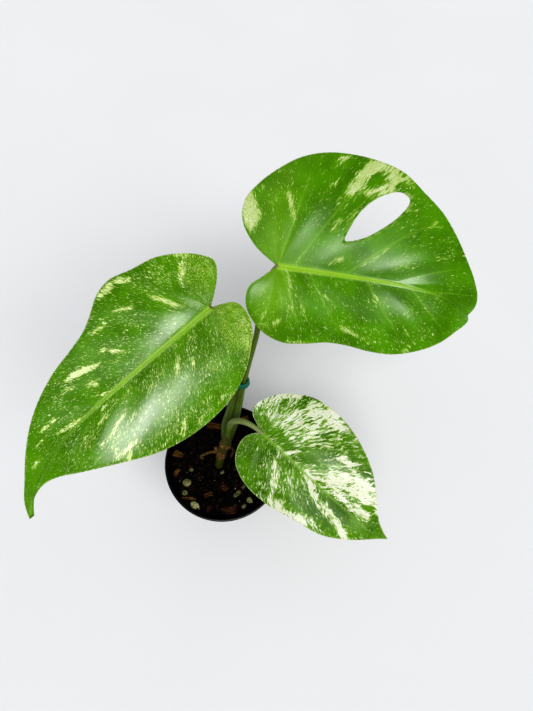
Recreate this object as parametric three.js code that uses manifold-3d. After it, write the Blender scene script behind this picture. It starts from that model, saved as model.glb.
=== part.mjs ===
// Potted mint monstera: a young variegated climber with three heart-shaped leaves,
// two of them held together by a soft tie, in a thin black nursery pot of bark mix.
// Millimetres, +Z up, origin at the centre of the pot's foot.
import * as THREE from "three";
import { mergeVertices } from "three/addons/utils/BufferGeometryUtils.js";
import Module from "manifold-3d";

const wasm = await Module();
wasm.setup();

// Clearance between pieces that touch
const GAP = 0.3;

// Nursery pot
const POT = {
  rimRadius: 50,
  height: 88,
  footRadius: 36,
  wall: 1.3,
  floor: 1.8,
  collarHeight: 10,
  collarStep: 1.5,
  beadRadius: 1.1,
  drainCount: 8,
  drainRadius: 3.5,
  drainRing: 25,
  sides: 40,
};

// Bark mix that fills the pot, and the waves that make its surface lumpy
const SOIL = { level: 80.5, mound: 1.5, moundReach: 24, rings: 5, sides: 30 };
const LUMPS = {
  height: 0.9,
  alongX: { pitch: 0.41, start: 1.3 },
  alongY: { pitch: 0.37, start: -0.4 },
  slanted: { pitchX: 0.93, pitchY: -0.71, share: 0.6 },
};

// Where the plant's own frame stands in the pot
const PLANT_PLACE = [-0.5, -3, 0];

// Loose pieces on top of the mix: place on the surface, length, width, height, turn.
// They are pressed in to a share of their height.
const PERLITE_SUNK = 0.45;
const PERLITE_ROUGH = { smallest: 0.88, spread: 0.16 };
const PERLITE = [
  { x: -31, y: -17.7, size: [7.8, 7.4, 5.6], turn: 20 },
  { x: -32.4, y: -25.6, size: [5.8, 5.4, 4.6], turn: 70 },
  { x: -23.4, y: -36, size: [8.8, 6.4, 5.2], turn: -35 },
  { x: -28.1, y: -6.2, size: [4.6, 4.2, 3.8], turn: 0 },
  { x: -1.4, y: -8.4, size: [4.4, 4.0, 3.6], turn: 40 },
  { x: 22.1, y: -31.4, size: [5.8, 6.6, 4.8], turn: 15 },
  { x: 17.4, y: -36.6, size: [4.6, 4.2, 3.8], turn: 60 },
  { x: 11.5, y: -26.6, size: [8.4, 5.0, 4.4], turn: 42 },
  { x: 16.9, y: -20.4, size: [4.8, 4.4, 3.8], turn: -20 },
];
const BARK_SUNK = 0.4;
const BARK_UNEVEN = { smallest: 0.86, spread: 0.26 };
const BARK = [
  { x: -29.4, y: -30.4, size: [9.6, 1.8, 2.2], turn: -5 },
  { x: -12.5, y: -27.6, size: [7.4, 3.2, 2.6], turn: 14 },
  { x: 0.7, y: -21.4, size: [6.4, 4.6, 3.0], turn: -30 },
  { x: 5.2, y: -40, size: [12.0, 6.0, 3.6], turn: 8 },
  { x: -11.6, y: -39, size: [6.0, 4.0, 3.0], turn: 50 },
  { x: -40, y: -8.6, size: [7.2, 3.4, 3.0], turn: 66 },
  { x: -39.6, y: 7, size: [8.4, 5.0, 3.4], turn: -28 },
  { x: -9.5, y: 32.7, size: [14.5, 5.6, 3.8], turn: 2 },
  { x: 17.2, y: 37.8, size: [8.2, 5.6, 5.4], turn: 24 },
];

// Climbing stem, from its buried end to its growing top
const STEM = {
  path: [[-6, -4, 52], [-4.2, 0, 80], [-1, 7.2, 95], [3.8, 13.5, 110], [6.2, 19.4, 121]],
  radii: [2.6, 3.3, 3.8, 4.6, 4.7],
  nodeAt: 0.79,
  nodeSwell: 0.5,
  sides: 10,
  steps: 14,
};
const STUB = { path: [[-1, 7, 92], [-4.6, 10.2, 94.4], [-7, 12.8, 96]], radii: [2.3, 2.1, 1.6] };
const AERIAL_ROOTS = [
  {
    path: [[-1, 7, 91], [-7, 9.8, 90.5], [-14, 9.2, 88], [-19.4, 7, 84.6], [-11.6, 4.8, 76]],
    radii: [1.5, 1.0],
  },
  {
    path: [[0, 8, 94], [5, 12.6, 92.5], [8.3, 12.4, 87], [5.6, 7, 80.5], [2.4, 3, 70]],
    radii: [1.5, 1.0],
  },
];

// Buried roots: each leaves the stem at one height, turns down at a knee and ends deep
const BURIED_ROOTS = {
  count: 4,
  firstTurn: 50,
  reach: 26,
  heights: { start: 60, knee: 48, end: 20 },
  kneeShare: 0.45,
  radii: [1.7, 0.9],
};

// Leaf stalks up to the bend below each blade; the last points come from the blade
const STALK_UPPER = {
  path: [[5, 15.4, 111], [9.2, 22.6, 121], [12.6, 29.4, 133], [15.8, 35, 147], [19.6, 42.7, 165],
    [24.5, 53, 184], [30, 64, 204], [33.4, 76, 225]],
  radii: [4.4, 4.4, 3.5, 2.7, 2.3, 2.2, 2.1, 2.0, 2.1, 2.4, 2.1],
};
const STALK_LEFT = {
  path: [[3.6, 14.6, 111], [4.2, 23, 122], [7.4, 29.4, 134], [10.9, 35.4, 148], [15.2, 43, 165],
    [14, 50, 190], [10.8, 57, 218]],
  radii: [4.2, 3.9, 3.1, 2.4, 2.0, 1.9, 1.9, 2.0, 2.3, 2.0],
};
const STALK_LOWER = {
  path: [[5, 15.4, 112], [7, 18.2, 124], [8, 19, 133], [10.3, 19.3, 141.4], [14, 18.5, 148],
    [18.5, 17, 151.6], [23, 15, 152.6], [27.4, 12.8, 151.4]],
  radii: [4.4, 3.6, 2.9, 2.7, 2.6, 2.4, 2.1, 1.8, 1.5],
};
const BEND_RADIUS = 4;
const TIE = { height: 165, width: 5, thickness: 0.8, innerRadius: 3.2, axis: [-0.1, 0.25, 0.96] };

// Blades. Each lies in its own frame: u runs from the stalk to the tip, v to the left
// of the midrib seen from above, and facing is the upper side. The left and right
// outlines are points round the margin from the stalk to the tip.
const BLADE = {
  thickness: 0.8,
  rows: 26,
  columns: 6,
  lobeShare: 0.39,
  footPower: 1.5,
  veinCurve: 0.1,
  straightShare: 0.2,
  hookStart: 0.8,
  waveShift: 0.3,
  windowDepth: 60,
};
const MIDRIB = { radius: 2.1, tipRadius: 0.5, start: 3.5, reach: 0.93, sides: 6, steps: 10 };
const LEAF_UPPER = {
  stalkPoint: [44, 89, 250],
  tip: [174, 71, 220],
  facing: [0.12, -0.5, 0.86],
  sweep: 7,
  bow: 6,
  hook: 4,
  fold: { left: [0.2, 0.26 / 80], right: [0.2, 0.32 / 50] },
  veins: { count: 6, pleat: 1.1, waves: 2.5, wave: 1.3 },
  left: [[0, 0], [-17, 9.7], [-28, 23], [-29.5, 36], [-23.5, 48], [-13, 60.5], [0, 71.5], [15, 78],
    [32, 80.5], [50, 80], [66, 77], [82, 68], [98, 58.5], [111, 46.5], [122, 34.5], [132.5, 23],
    [139.5, 13], [140.5, 6], [137.6, 0]],
  right: [[0, 0], [-8, -8.5], [-15, -17], [-14.5, -27.5], [-8.5, -36.5], [1, -43.5], [14.5, -47],
    [29, -44.5], [43, -40.5], [57, -39.5], [72, -40], [88, -38.5], [103, -33], [117, -24.5],
    [128, -14.5], [139.4, -3.4], [137.6, 0]],
  window: [[37, 25], [38.5, 34], [43.5, 46.5], [53, 57.3], [66, 63.8], [73.2, 60.5], [69.5, 50.5],
    [58.5, 37.5], [46.5, 28]],
};
const LEAF_LEFT = {
  stalkPoint: [2, 58, 250],
  tip: [-104, -61.5, 206.5],
  facing: [0.1, -0.42, 0.9],
  sweep: -14.7,
  bow: 8,
  hook: 6,
  fold: { left: [0.3, 0.36 / 52], right: [0.24, 0.3 / 76] },
  veins: { count: 6, pleat: 0.8, waves: 2, wave: 1.4 },
  left: [[0, 0], [-5.5, 4.5], [-10.5, 10.5], [-11, 18.5], [-6, 28.5], [3, 35.5], [14, 41], [28, 45],
    [43, 45.7], [58, 43.5], [73, 39], [88, 31.5], [101, 22], [113, 13], [125, 4], [135, -3.5],
    [145, -7.2], [156, -6.4], [169, -0.6]],
  right: [[0, 0], [-9, -4.2], [-19, -10.5], [-24.5, -17.5], [-21.5, -26], [-13, -36.5], [-1, -45.5],
    [13, -50.5], [27, -56], [38.5, -54.8], [48, -50.5], [59, -46.5], [72, -45], [88, -44],
    [105, -40.5], [121, -34.5], [135, -26.5], [149, -17], [161, -9], [169, -0.6]],
};
const LEAF_LOWER = {
  stalkPoint: [34, 8, 150],
  tip: [125, -64, 124],
  facing: [-0.03, -0.37, 0.93],
  sweep: -3,
  bow: 5,
  hook: 4,
  fold: { left: [0.22, 0.28 / 44], right: [0.22, 0.28 / 40] },
  veins: { count: 6, pleat: 0.7, waves: 3, wave: 1.1 },
  left: [[0, 0], [-8.5, 2.8], [-15.5, 6.5], [-18, 13], [-14.5, 23], [-8, 32], [2, 40], [14, 45.5],
    [28, 47.3], [42, 46.3], [55, 43], [67, 38], [79, 31], [89, 22.5], [98, 13.5], [107, 6],
    [115, 2], [121, 0]],
  right: [[0, 0], [-4.5, -3.2], [-8.8, -11], [-7.5, -21], [-2.5, -29], [5, -34], [15, -37.2],
    [27, -38.2], [39, -37], [52, -33.8], [66, -31.2], [80, -28], [93, -21.2], [105, -12.3],
    [113.5, -5], [121, 0]],
};

const MATERIALS = {
  pot: new THREE.MeshStandardMaterial({ color: 0x111113, roughness: 0.35, metalness: 0 }),
  soil: new THREE.MeshStandardMaterial({ color: 0x15110d, roughness: 0.95, metalness: 0 }),
  perlite: new THREE.MeshStandardMaterial({ color: 0xc9c6ab, roughness: 0.9, metalness: 0 }),
  bark: new THREE.MeshStandardMaterial({ color: 0x83482a, roughness: 0.85, metalness: 0 }),
  stem: new THREE.MeshStandardMaterial({ color: 0x6b6a25, roughness: 0.55, metalness: 0 }),
  stalk: new THREE.MeshStandardMaterial({ color: 0x55671f, roughness: 0.45, metalness: 0 }),
  tie: new THREE.MeshStandardMaterial({ color: 0x0b6a54, roughness: 0.6, metalness: 0 }),
  leaf: new THREE.MeshStandardMaterial({ color: 0x4f930f, roughness: 0.38, metalness: 0 }),
};

const vec = (point) => new THREE.Vector3(...point);
const smooth = (points) => new THREE.CatmullRomCurve3(points, false, "centripetal");

/** Repeatable random numbers between 0 and 1. */
function seededRandom(seed) {
  let state = seed;
  return () => {
    state = (state + 0x6d2b79f5) | 0;
    let mixed = Math.imul(state ^ (state >>> 15), 1 | state);
    mixed = (mixed + Math.imul(mixed ^ (mixed >>> 7), 61 | mixed)) ^ mixed;
    return ((mixed ^ (mixed >>> 14)) >>> 0) / 4294967296;
  };
}

/** Merged positions and triangles of a closed geometry, with its faces pointing out. */
function weld(geometry) {
  const bare = geometry.clone();
  bare.deleteAttribute("normal");
  bare.deleteAttribute("uv");
  const merged = mergeVertices(bare, 1e-4);
  const at = merged.attributes.position.array;
  const corners = merged.index.array;
  const kept = [];
  let volume = 0;
  for (let i = 0; i < corners.length; i += 3) {
    const [a, b, c] = [corners[i], corners[i + 1], corners[i + 2]];
    if (a === b || b === c || c === a) continue;
    kept.push(a, b, c);
    const [p, q, r] = [a, b, c].map((k) => new THREE.Vector3().fromArray(at, 3 * k));
    volume += p.dot(q.cross(r));
  }
  if (volume < 0) kept.reverse();
  return { positions: Float32Array.from(at), triangles: Uint32Array.from(kept) };
}

/** Solid of a closed geometry, for joining and cutting. */
function solidOf(geometry) {
  const { positions, triangles } = weld(geometry);
  return new wasm.Manifold(new wasm.Mesh({ numProp: 3, vertProperties: positions, triVerts: triangles }));
}

/** Largest single body of a solid, as a geometry. */
function geometryOf(solid) {
  const bodies = solid.decompose();
  bodies.sort((a, b) => b.volume() - a.volume());
  const mesh = bodies[0].getMesh();
  const geometry = new THREE.BufferGeometry();
  geometry.setAttribute("position", new THREE.BufferAttribute(mesh.vertProperties, 3));
  geometry.setIndex(new THREE.BufferAttribute(mesh.triVerts, 1));
  geometry.computeVertexNormals();
  return geometry;
}

function meshOf(name, solid, material) {
  const mesh = new THREE.Mesh(geometryOf(solid), material);
  mesh.name = name;
  return mesh;
}

/** Value of a list of numbers, spaced evenly from 0 to 1, at a place between them. */
function along(values, t) {
  const place = t * (values.length - 1);
  const low = Math.min(Math.floor(place), values.length - 2);
  return THREE.MathUtils.lerp(values[low], values[low + 1], place - low);
}

/**
 * Round limb along a path: a cylinder bent to the curve, with a radius for each
 * point of the path. extra makes it that much fatter and longer at both ends.
 */
function limb({ path, radii }, { sides = 8, steps = 20, extra = 0, swell = () => 0 } = {}) {
  const points = path.map(vec);
  const reach = (from, to) => to.clone().add(to.clone().sub(from).setLength(extra));
  if (extra > 0) {
    points.unshift(reach(points[1], points[0]));
    points.push(reach(points.at(-2), points.at(-1)));
  }
  const curve = smooth(points);
  const frames = curve.computeFrenetFrames(steps);
  const limbGeometry = new THREE.CylinderGeometry(1, 1, 1, sides, steps);
  const position = limbGeometry.attributes.position;
  for (let i = 0; i < position.count; i += 1) {
    const t = THREE.MathUtils.clamp(position.getY(i) + 0.5, 0, 1);
    const ring = Math.round(t * steps);
    const radius = along(radii, t) + swell(t) + extra;
    const place = curve.getPointAt(t);
    place.addScaledVector(frames.normals[ring], position.getX(i) * radius);
    place.addScaledVector(frames.binormals[ring], position.getZ(i) * radius);
    position.setXYZ(i, place.x, place.y, place.z);
  }
  return solidOf(limbGeometry);
}

// Pot

/** Outer radius of the pot's wall at a height, below the collar. */
function potOuterRadius(z) {
  const top = POT.rimRadius - POT.beadRadius - POT.collarStep;
  return THREE.MathUtils.lerp(POT.footRadius, top, z / (POT.height - POT.collarHeight));
}

function makePot() {
  const { height, wall, floor, collarHeight, collarStep, beadRadius, rimRadius, footRadius } = POT;
  const collarBottom = height - collarHeight;
  const shoulder = potOuterRadius(collarBottom);
  const collarRadius = shoulder + collarStep;
  const beadCentre = new THREE.Vector2(rimRadius - beadRadius, height - beadRadius);
  const beadRoot = height - 2.4 * beadRadius;
  const bead = [-40, 0, 45, 90, 135, 180].map((degrees) => {
    const turn = THREE.MathUtils.degToRad(degrees);
    return new THREE.Vector2(Math.cos(turn), Math.sin(turn)).multiplyScalar(beadRadius).add(beadCentre);
  });
  const profile = [
    new THREE.Vector2(0, 0),
    new THREE.Vector2(footRadius - 1, 0),
    new THREE.Vector2(footRadius, 1),
    new THREE.Vector2(shoulder, collarBottom),
    new THREE.Vector2(collarRadius, collarBottom + collarStep),
    new THREE.Vector2(collarRadius, beadRoot),
    ...bead,
    new THREE.Vector2(collarRadius - wall, collarBottom + 2 * collarStep),
    new THREE.Vector2(shoulder - wall, collarBottom),
    new THREE.Vector2(potOuterRadius(floor) - wall, floor),
    new THREE.Vector2(0, floor),
  ];
  const shell = new THREE.LatheGeometry(profile, POT.sides);
  shell.rotateX(Math.PI / 2);
  let pot = solidOf(shell);
  for (let i = 0; i < POT.drainCount; i += 1) {
    const turn = (2 * Math.PI * i) / POT.drainCount;
    const drill = new THREE.CylinderGeometry(POT.drainRadius, POT.drainRadius, 4 * floor, 12);
    drill.rotateX(Math.PI / 2);
    drill.translate(POT.drainRing * Math.cos(turn), POT.drainRing * Math.sin(turn), 0);
    pot = pot.subtract(solidOf(drill));
  }
  return pot;
}

// Bark mix

/** Height of the mix's surface: a low mound round the stem, with lumps. */
function soilHeight(x, y) {
  const fromStem = Math.hypot(x - STEM.path[1][0], y - STEM.path[1][1]);
  const mound = SOIL.mound * Math.exp(-((fromStem / SOIL.moundReach) ** 2));
  const { alongX, alongY, slanted } = LUMPS;
  const crossed = Math.sin(alongX.pitch * x + alongX.start) * Math.cos(alongY.pitch * y + alongY.start);
  const ridges = slanted.share * Math.sin(slanted.pitchX * x + slanted.pitchY * y);
  return SOIL.level + mound + LUMPS.height * (crossed + ridges);
}

/** The mix as a plug that stands clear of the pot by the gap, with its lumpy top. */
function makeSoilPlug() {
  const bottom = POT.floor + GAP;
  const innerRadius = (z) => potOuterRadius(z) - POT.wall - 2 * GAP;
  const shoulder = POT.height - POT.collarHeight;
  const topRadius = innerRadius(shoulder) + GAP;
  const profile = [
    new THREE.Vector2(0, bottom),
    new THREE.Vector2(innerRadius(bottom), bottom),
    new THREE.Vector2(innerRadius(shoulder), shoulder - 1),
  ];
  for (let ring = SOIL.rings; ring >= 0; ring -= 1) {
    profile.push(new THREE.Vector2((topRadius * ring) / SOIL.rings, SOIL.level));
  }
  const plug = new THREE.LatheGeometry(profile, SOIL.sides);
  plug.rotateX(Math.PI / 2);
  const position = plug.attributes.position;
  for (let i = 0; i < position.count; i += 1) {
    if (position.getZ(i) < SOIL.level - 1) continue;
    position.setZ(i, soilHeight(position.getX(i), position.getY(i)));
  }
  return solidOf(plug);
}

/** Rounded lump with a rough, seeded surface; grow makes it larger all round. */
function lump(size, seed, grow = 0) {
  const random = seededRandom(seed);
  const ball = new THREE.IcosahedronGeometry(1, 1);
  ball.deleteAttribute("normal");
  ball.deleteAttribute("uv");
  const shape = mergeVertices(ball, 1e-4);
  const position = shape.attributes.position;
  for (let i = 0; i < position.count; i += 1) {
    const rough = PERLITE_ROUGH.smallest + PERLITE_ROUGH.spread * random();
    const [x, y, z] = size.map((side) => (side * rough) / 2 + grow);
    position.setXYZ(i, position.getX(i) * x, position.getY(i) * y, position.getZ(i) * z);
  }
  return shape;
}

/** Flat split chip with slanted, uneven ends; grow makes it larger all round. */
function chip(size, seed, grow = 0) {
  const random = seededRandom(seed);
  const block = new THREE.BoxGeometry(1, 1, 1, 2, 1, 1);
  block.deleteAttribute("normal");
  block.deleteAttribute("uv");
  const shape = mergeVertices(block, 1e-4);
  const position = shape.attributes.position;
  for (let i = 0; i < position.count; i += 1) {
    const corner = [position.getX(i), position.getY(i), position.getZ(i)];
    const [x, y, z] = corner.map((side, axis) => {
      const uneven = BARK_UNEVEN.smallest + BARK_UNEVEN.spread * random();
      return side * size[axis] * uneven + Math.sign(side) * grow;
    });
    position.setXYZ(i, x, y, z);
  }
  return shape;
}

/** A loose piece in its place, pressed into the mix to the share sunk. */
function seated(geometry, { x, y, size, turn }, sunk) {
  geometry.rotateZ(THREE.MathUtils.degToRad(turn));
  geometry.translate(x, y, soilHeight(x, y) + size[2] * (0.5 - sunk));
  return solidOf(geometry);
}

// Stem

/** Stem, stub and roots, grown as one; extra gives the room that they need in the mix. */
function makeStem(extra = 0) {
  const ringSwell = (t) => STEM.nodeSwell * Math.exp(-(((t - STEM.nodeAt) / 0.02) ** 2));
  let stem = limb(STEM, { sides: STEM.sides, steps: STEM.steps, extra, swell: ringSwell });
  stem = stem.add(limb(STUB, { sides: 7, steps: 3, extra }));
  for (const root of AERIAL_ROOTS) {
    stem = stem.add(limb(root, { sides: 6, steps: 9, extra }));
  }
  const [footX, footY] = STEM.path[0];
  for (let i = 0; i < BURIED_ROOTS.count; i += 1) {
    const turn = THREE.MathUtils.degToRad(BURIED_ROOTS.firstTurn + (360 * i) / BURIED_ROOTS.count);
    const out = (share, z) => [
      footX + share * BURIED_ROOTS.reach * Math.cos(turn),
      footY + share * BURIED_ROOTS.reach * Math.sin(turn),
      z,
    ];
    const { start, knee, end } = BURIED_ROOTS.heights;
    const path = [out(0, start), out(BURIED_ROOTS.kneeShare, knee), out(1, end)];
    stem = stem.add(limb({ path, radii: BURIED_ROOTS.radii }, { sides: 6, steps: 5, extra }));
  }
  return stem;
}

// Blades

/** A blade's own axes, its length, and the surface of its upper side. */
class BladeFrame {
  constructor(leaf) {
    this.leaf = leaf;
    this.origin = vec(leaf.stalkPoint);
    this.u = vec(leaf.tip).sub(this.origin);
    this.length = this.u.length();
    this.u.normalize();
    this.n = vec(leaf.facing);
    this.n.addScaledVector(this.u, -this.n.dot(this.u)).normalize();
    this.v = new THREE.Vector3().crossVectors(this.n, this.u);
  }

  /** Sideways place of the midrib, which sweeps out and back in one long curve. */
  midrib(u) {
    const t = u / this.length;
    const widest = 0.582;
    return (this.leaf.sweep * (t - Math.max(t, 0) ** 6)) / widest;
  }

  /** Height of the upper side: a long bow, a hooked tip and two arched halves. */
  height(u, v) {
    const t = u / this.length;
    const side = v - this.midrib(u);
    const [rise, fall] = side >= 0 ? this.leaf.fold.left : this.leaf.fold.right;
    const bow = 4 * this.leaf.bow * t * (1 - t);
    const hook = this.leaf.hook * Math.max(0, (t - BLADE.hookStart) / (1 - BLADE.hookStart)) ** 2;
    return bow - hook + rise * Math.abs(side) - fall * side * side;
  }

  /** Point at u, v and a height above the blade's plane. */
  place(u, v, height) {
    return this.origin.clone().addScaledVector(this.u, u).addScaledVector(this.v, v)
      .addScaledVector(this.n, height);
  }

  /** Middle of the midrib at u, for its radius there, half sunk in the underside. */
  ribCentre(u, radius) {
    const v = this.midrib(u);
    return this.place(u, v, this.height(u, v) - BLADE.thickness - 0.5 * radius);
  }
}

/**
 * Both halves of a blade as one closed sheet. Rows run from the midrib to the margin
 * along the side veins; in the lobes they fan out from the stalk.
 */
function bladeSolid(frame) {
  const { rows, columns, thickness, lobeShare, footPower, veinCurve, straightShare, waveShift } = BLADE;
  const { veins } = frame.leaf;
  const points = [];
  const triangles = [];
  const grid = [frame.leaf.left, frame.leaf.right].map((margin, half) => {
    const outline = smooth(margin.map(([u, v]) => vec([u, v, 0])));
    const faces = [];
    for (let row = 0; row <= rows; row += 1) {
      const q = row / rows;
      const footU = frame.length * Math.max(0, (q - lobeShare) / (1 - lobeShare)) ** footPower;
      const rim = outline.getPoint(q);
      const tipU = outline.getPoint(1).x;
      const foot = new THREE.Vector2(Math.min(footU, tipU), frame.midrib(Math.min(footU, tipU)));
      const reach = Math.hypot(rim.x - foot.x, rim.y - foot.y);
      const bend = veinCurve * reach * Math.min(1, footU / (straightShare * frame.length));
      const line = [];
      for (let column = 0; column <= columns; column += 1) {
        const w = column / columns;
        const u = THREE.MathUtils.lerp(foot.x, rim.x, w) - 2 * bend * w * (1 - w);
        const v = THREE.MathUtils.lerp(foot.y, rim.y, w);
        const pleat = veins.pleat * Math.sin(Math.PI * veins.count * q) ** 2 * Math.sin(Math.PI * w);
        const phase = veins.waves * q + waveShift * half;
        const wave = veins.wave * Math.sin(2 * Math.PI * phase) * w ** 3;
        const joins = row === 0 || row === rows;
        const height = frame.height(u, v) + (joins ? 0 : pleat + wave);
        line.push([frame.place(u, v, height), frame.place(u, v, height - thickness)]);
      }
      faces.push(line);
    }
    return faces;
  });
  const corner = (half, row, column, face) => points.push(grid[half][row][column][face]) - 1;
  const quad = (a, b, c, d, turned) => {
    triangles.push(...(turned ? [a, c, b, a, d, c] : [a, b, c, a, c, d]));
  };
  for (const half of [0, 1]) {
    for (let row = 0; row < rows; row += 1) {
      for (let column = 0; column < columns; column += 1) {
        for (const face of [0, 1]) {
          const at = (r, c) => corner(half, row + r, column + c, face);
          quad(at(0, 0), at(1, 0), at(1, 1), at(0, 1), (half === 1) !== (face === 1));
        }
      }
      const rim = (r, face) => corner(half, row + r, columns, face);
      quad(rim(0, 0), rim(1, 0), rim(1, 1), rim(0, 1), half === 1);
    }
  }
  const sheet = new THREE.BufferGeometry().setFromPoints(points);
  sheet.setIndex(triangles);
  return solidOf(sheet);
}

/** Tapering midrib along the underside, from the stalk nearly to the tip. */
function midribSolid(frame) {
  const path = [];
  const radii = [];
  const stations = 8;
  const last = MIDRIB.reach * frame.length;
  for (let i = 0; i <= stations; i += 1) {
    const t = i / stations;
    const u = THREE.MathUtils.lerp(MIDRIB.start, last, t);
    const radius = THREE.MathUtils.lerp(MIDRIB.radius, MIDRIB.tipRadius, t);
    path.push(frame.ribCentre(u, radius).toArray());
    radii.push(radius);
  }
  return limb({ path, radii }, { sides: MIDRIB.sides, steps: MIDRIB.steps });
}

/** Prism through the blade in the shape of its window. */
function windowSolid(frame) {
  const outline = new THREE.CatmullRomCurve3(frame.leaf.window.map(([u, v]) => vec([u, v, 0])), true);
  const corners = outline.getPoints(36).slice(0, -1);
  const shape = new THREE.Shape(corners.map(({ x, y }) => new THREE.Vector2(x, y)));
  const prism = new THREE.ExtrudeGeometry(shape, { depth: BLADE.windowDepth, bevelEnabled: false });
  prism.translate(0, 0, -BLADE.windowDepth / 2);
  const axes = new THREE.Matrix4().makeBasis(frame.u, frame.v, frame.n).setPosition(frame.origin);
  prism.applyMatrix4(axes);
  return solidOf(prism);
}

function makeLeaf(frame) {
  let leaf = bladeSolid(frame).add(midribSolid(frame));
  if (frame.leaf.window) leaf = leaf.subtract(windowSolid(frame));
  return leaf;
}

// Stalks

/** Stalk path with a quarter bend that ends on the line of the blade's midrib. */
function bentPath(stalk, frame) {
  const end = frame.ribCentre(MIDRIB.start - GAP, MIDRIB.radius);
  const before = vec(stalk.path.at(-1));
  const rise = end.clone().sub(before).addScaledVector(frame.u, -BEND_RADIUS).normalize();
  const quarter = (turn) => end.clone()
    .addScaledVector(rise, BEND_RADIUS * (Math.sin(turn) - 1))
    .addScaledVector(frame.u, -BEND_RADIUS * Math.cos(turn));
  const bend = [0, Math.PI / 4, Math.PI / 2].map((turn) => quarter(turn).toArray());
  return { path: [...stalk.path, ...bend], radii: stalk.radii };
}

/** Stalk path that arches straight on to the blade's midrib. */
function archedPath(stalk, frame) {
  const end = frame.ribCentre(MIDRIB.start - GAP, MIDRIB.radius);
  return { path: [...stalk.path, end.toArray()], radii: stalk.radii };
}

/** Soft band that holds the two tall stalks together, cut clear of both. */
function makeTie(stalks, rooms) {
  const [first, second] = stalks.map(({ path }) => vec(path.find(([, , z]) => z === TIE.height)));
  const middle = first.clone().lerp(second, 0.5);
  const halfSpan = first.distanceTo(second) / 2;
  const up = vec(TIE.axis).normalize();
  const side = new THREE.Vector3().crossVectors(up, first.clone().sub(second)).normalize();
  const long = new THREE.Vector3().crossVectors(side, up);
  const oval = (radius) => {
    const shape = new THREE.Shape();
    shape.absarc(halfSpan, 0, radius, -Math.PI / 2, Math.PI / 2);
    shape.absarc(-halfSpan, 0, radius, Math.PI / 2, (3 * Math.PI) / 2);
    return shape;
  };
  const band = oval(TIE.innerRadius + TIE.thickness);
  band.holes.push(oval(TIE.innerRadius));
  const ring = new THREE.ExtrudeGeometry(band, { depth: TIE.width, bevelEnabled: false, curveSegments: 5 });
  ring.translate(0, 0, -TIE.width / 2);
  ring.applyMatrix4(new THREE.Matrix4().makeBasis(long, side, up).setPosition(middle));
  return rooms.reduce((solid, room) => solid.subtract(room), solidOf(ring));
}

/** Room that a stalk leaves under the blade it carries. */
function leafRoom(leaf, frame) {
  return leaf.add(leaf.translate(frame.n.clone().multiplyScalar(-GAP).toArray()));
}

// Assembly
const pottedPlant = new THREE.Group();
const plant = new THREE.Group();
plant.position.set(...PLANT_PLACE);
pottedPlant.add(plant);

pottedPlant.add(meshOf("pot", makePot(), MATERIALS.pot));

const stemRoom = makeStem(GAP);
let soil = makeSoilPlug().subtract(stemRoom.translate(PLANT_PLACE));
const looseKinds = [
  { name: "perlite", pieces: PERLITE, shape: lump, sunk: PERLITE_SUNK },
  { name: "bark", pieces: BARK, shape: chip, sunk: BARK_SUNK },
];
let seed = 0;
for (const { name, pieces, shape, sunk } of looseKinds) {
  pieces.forEach((piece, i) => {
    seed += 1;
    soil = soil.subtract(seated(shape(piece.size, seed, GAP), piece, sunk));
    const loose = seated(shape(piece.size, seed), piece, sunk);
    pottedPlant.add(meshOf(`${name}_${i + 1}`, loose, MATERIALS[name]));
  });
}
pottedPlant.add(meshOf("soil", soil, MATERIALS.soil));

plant.add(meshOf("stem", makeStem(), MATERIALS.stem));

const upper = new BladeFrame(LEAF_UPPER);
const left = new BladeFrame(LEAF_LEFT);
const lower = new BladeFrame(LEAF_LOWER);
const leafUpper = makeLeaf(upper);
const leafLeft = makeLeaf(left);
const leafLower = makeLeaf(lower);
plant.add(meshOf("leaf_upper", leafUpper, MATERIALS.leaf));
plant.add(meshOf("leaf_left", leafLeft, MATERIALS.leaf));
plant.add(meshOf("leaf_lower", leafLower, MATERIALS.leaf));

const pathUpper = bentPath(STALK_UPPER, upper);
const pathLeft = bentPath(STALK_LEFT, left);
const pathLower = archedPath(STALK_LOWER, lower);
const roomUpper = limb(pathUpper, { extra: GAP });
const roomLeft = limb(pathLeft, { extra: GAP });
const roomLower = limb(pathLower, { extra: GAP });
const cutClear = (stalk, rooms) => rooms.reduce((solid, room) => solid.subtract(room), limb(stalk));
const stalkLower = cutClear(pathLower, [stemRoom, leafRoom(leafLower, lower)]);
const stalkUpper = cutClear(pathUpper, [stemRoom, roomLower, leafRoom(leafUpper, upper)]);
const stalkLeft = cutClear(pathLeft, [stemRoom, roomLower, roomUpper, leafRoom(leafLeft, left)]);
plant.add(meshOf("stalk_lower", stalkLower, MATERIALS.stalk));
plant.add(meshOf("stalk_upper", stalkUpper, MATERIALS.stalk));
plant.add(meshOf("stalk_left", stalkLeft, MATERIALS.stalk));
plant.add(meshOf("tie", makeTie([STALK_UPPER, STALK_LEFT], [roomUpper, roomLeft]), MATERIALS.tie));

export default pottedPlant;
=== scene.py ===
"""Looks of the potted mint monstera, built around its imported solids.

Sizes are in millimetres in the pot's own frame, as in the part's source, and become
metres when a mesh is made.
"""
import logging
from dataclasses import dataclass, field
from enum import Enum
from functools import cache
from math import cos, pi, radians, sin
from typing import Iterable, Sequence

import bmesh
import bpy
import numpy as np
from bpy.types import Material, Mesh, Node, NodeSocket, NodeTreeInterfaceSocket, Object
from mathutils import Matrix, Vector
from numpy.linalg import norm


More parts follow.
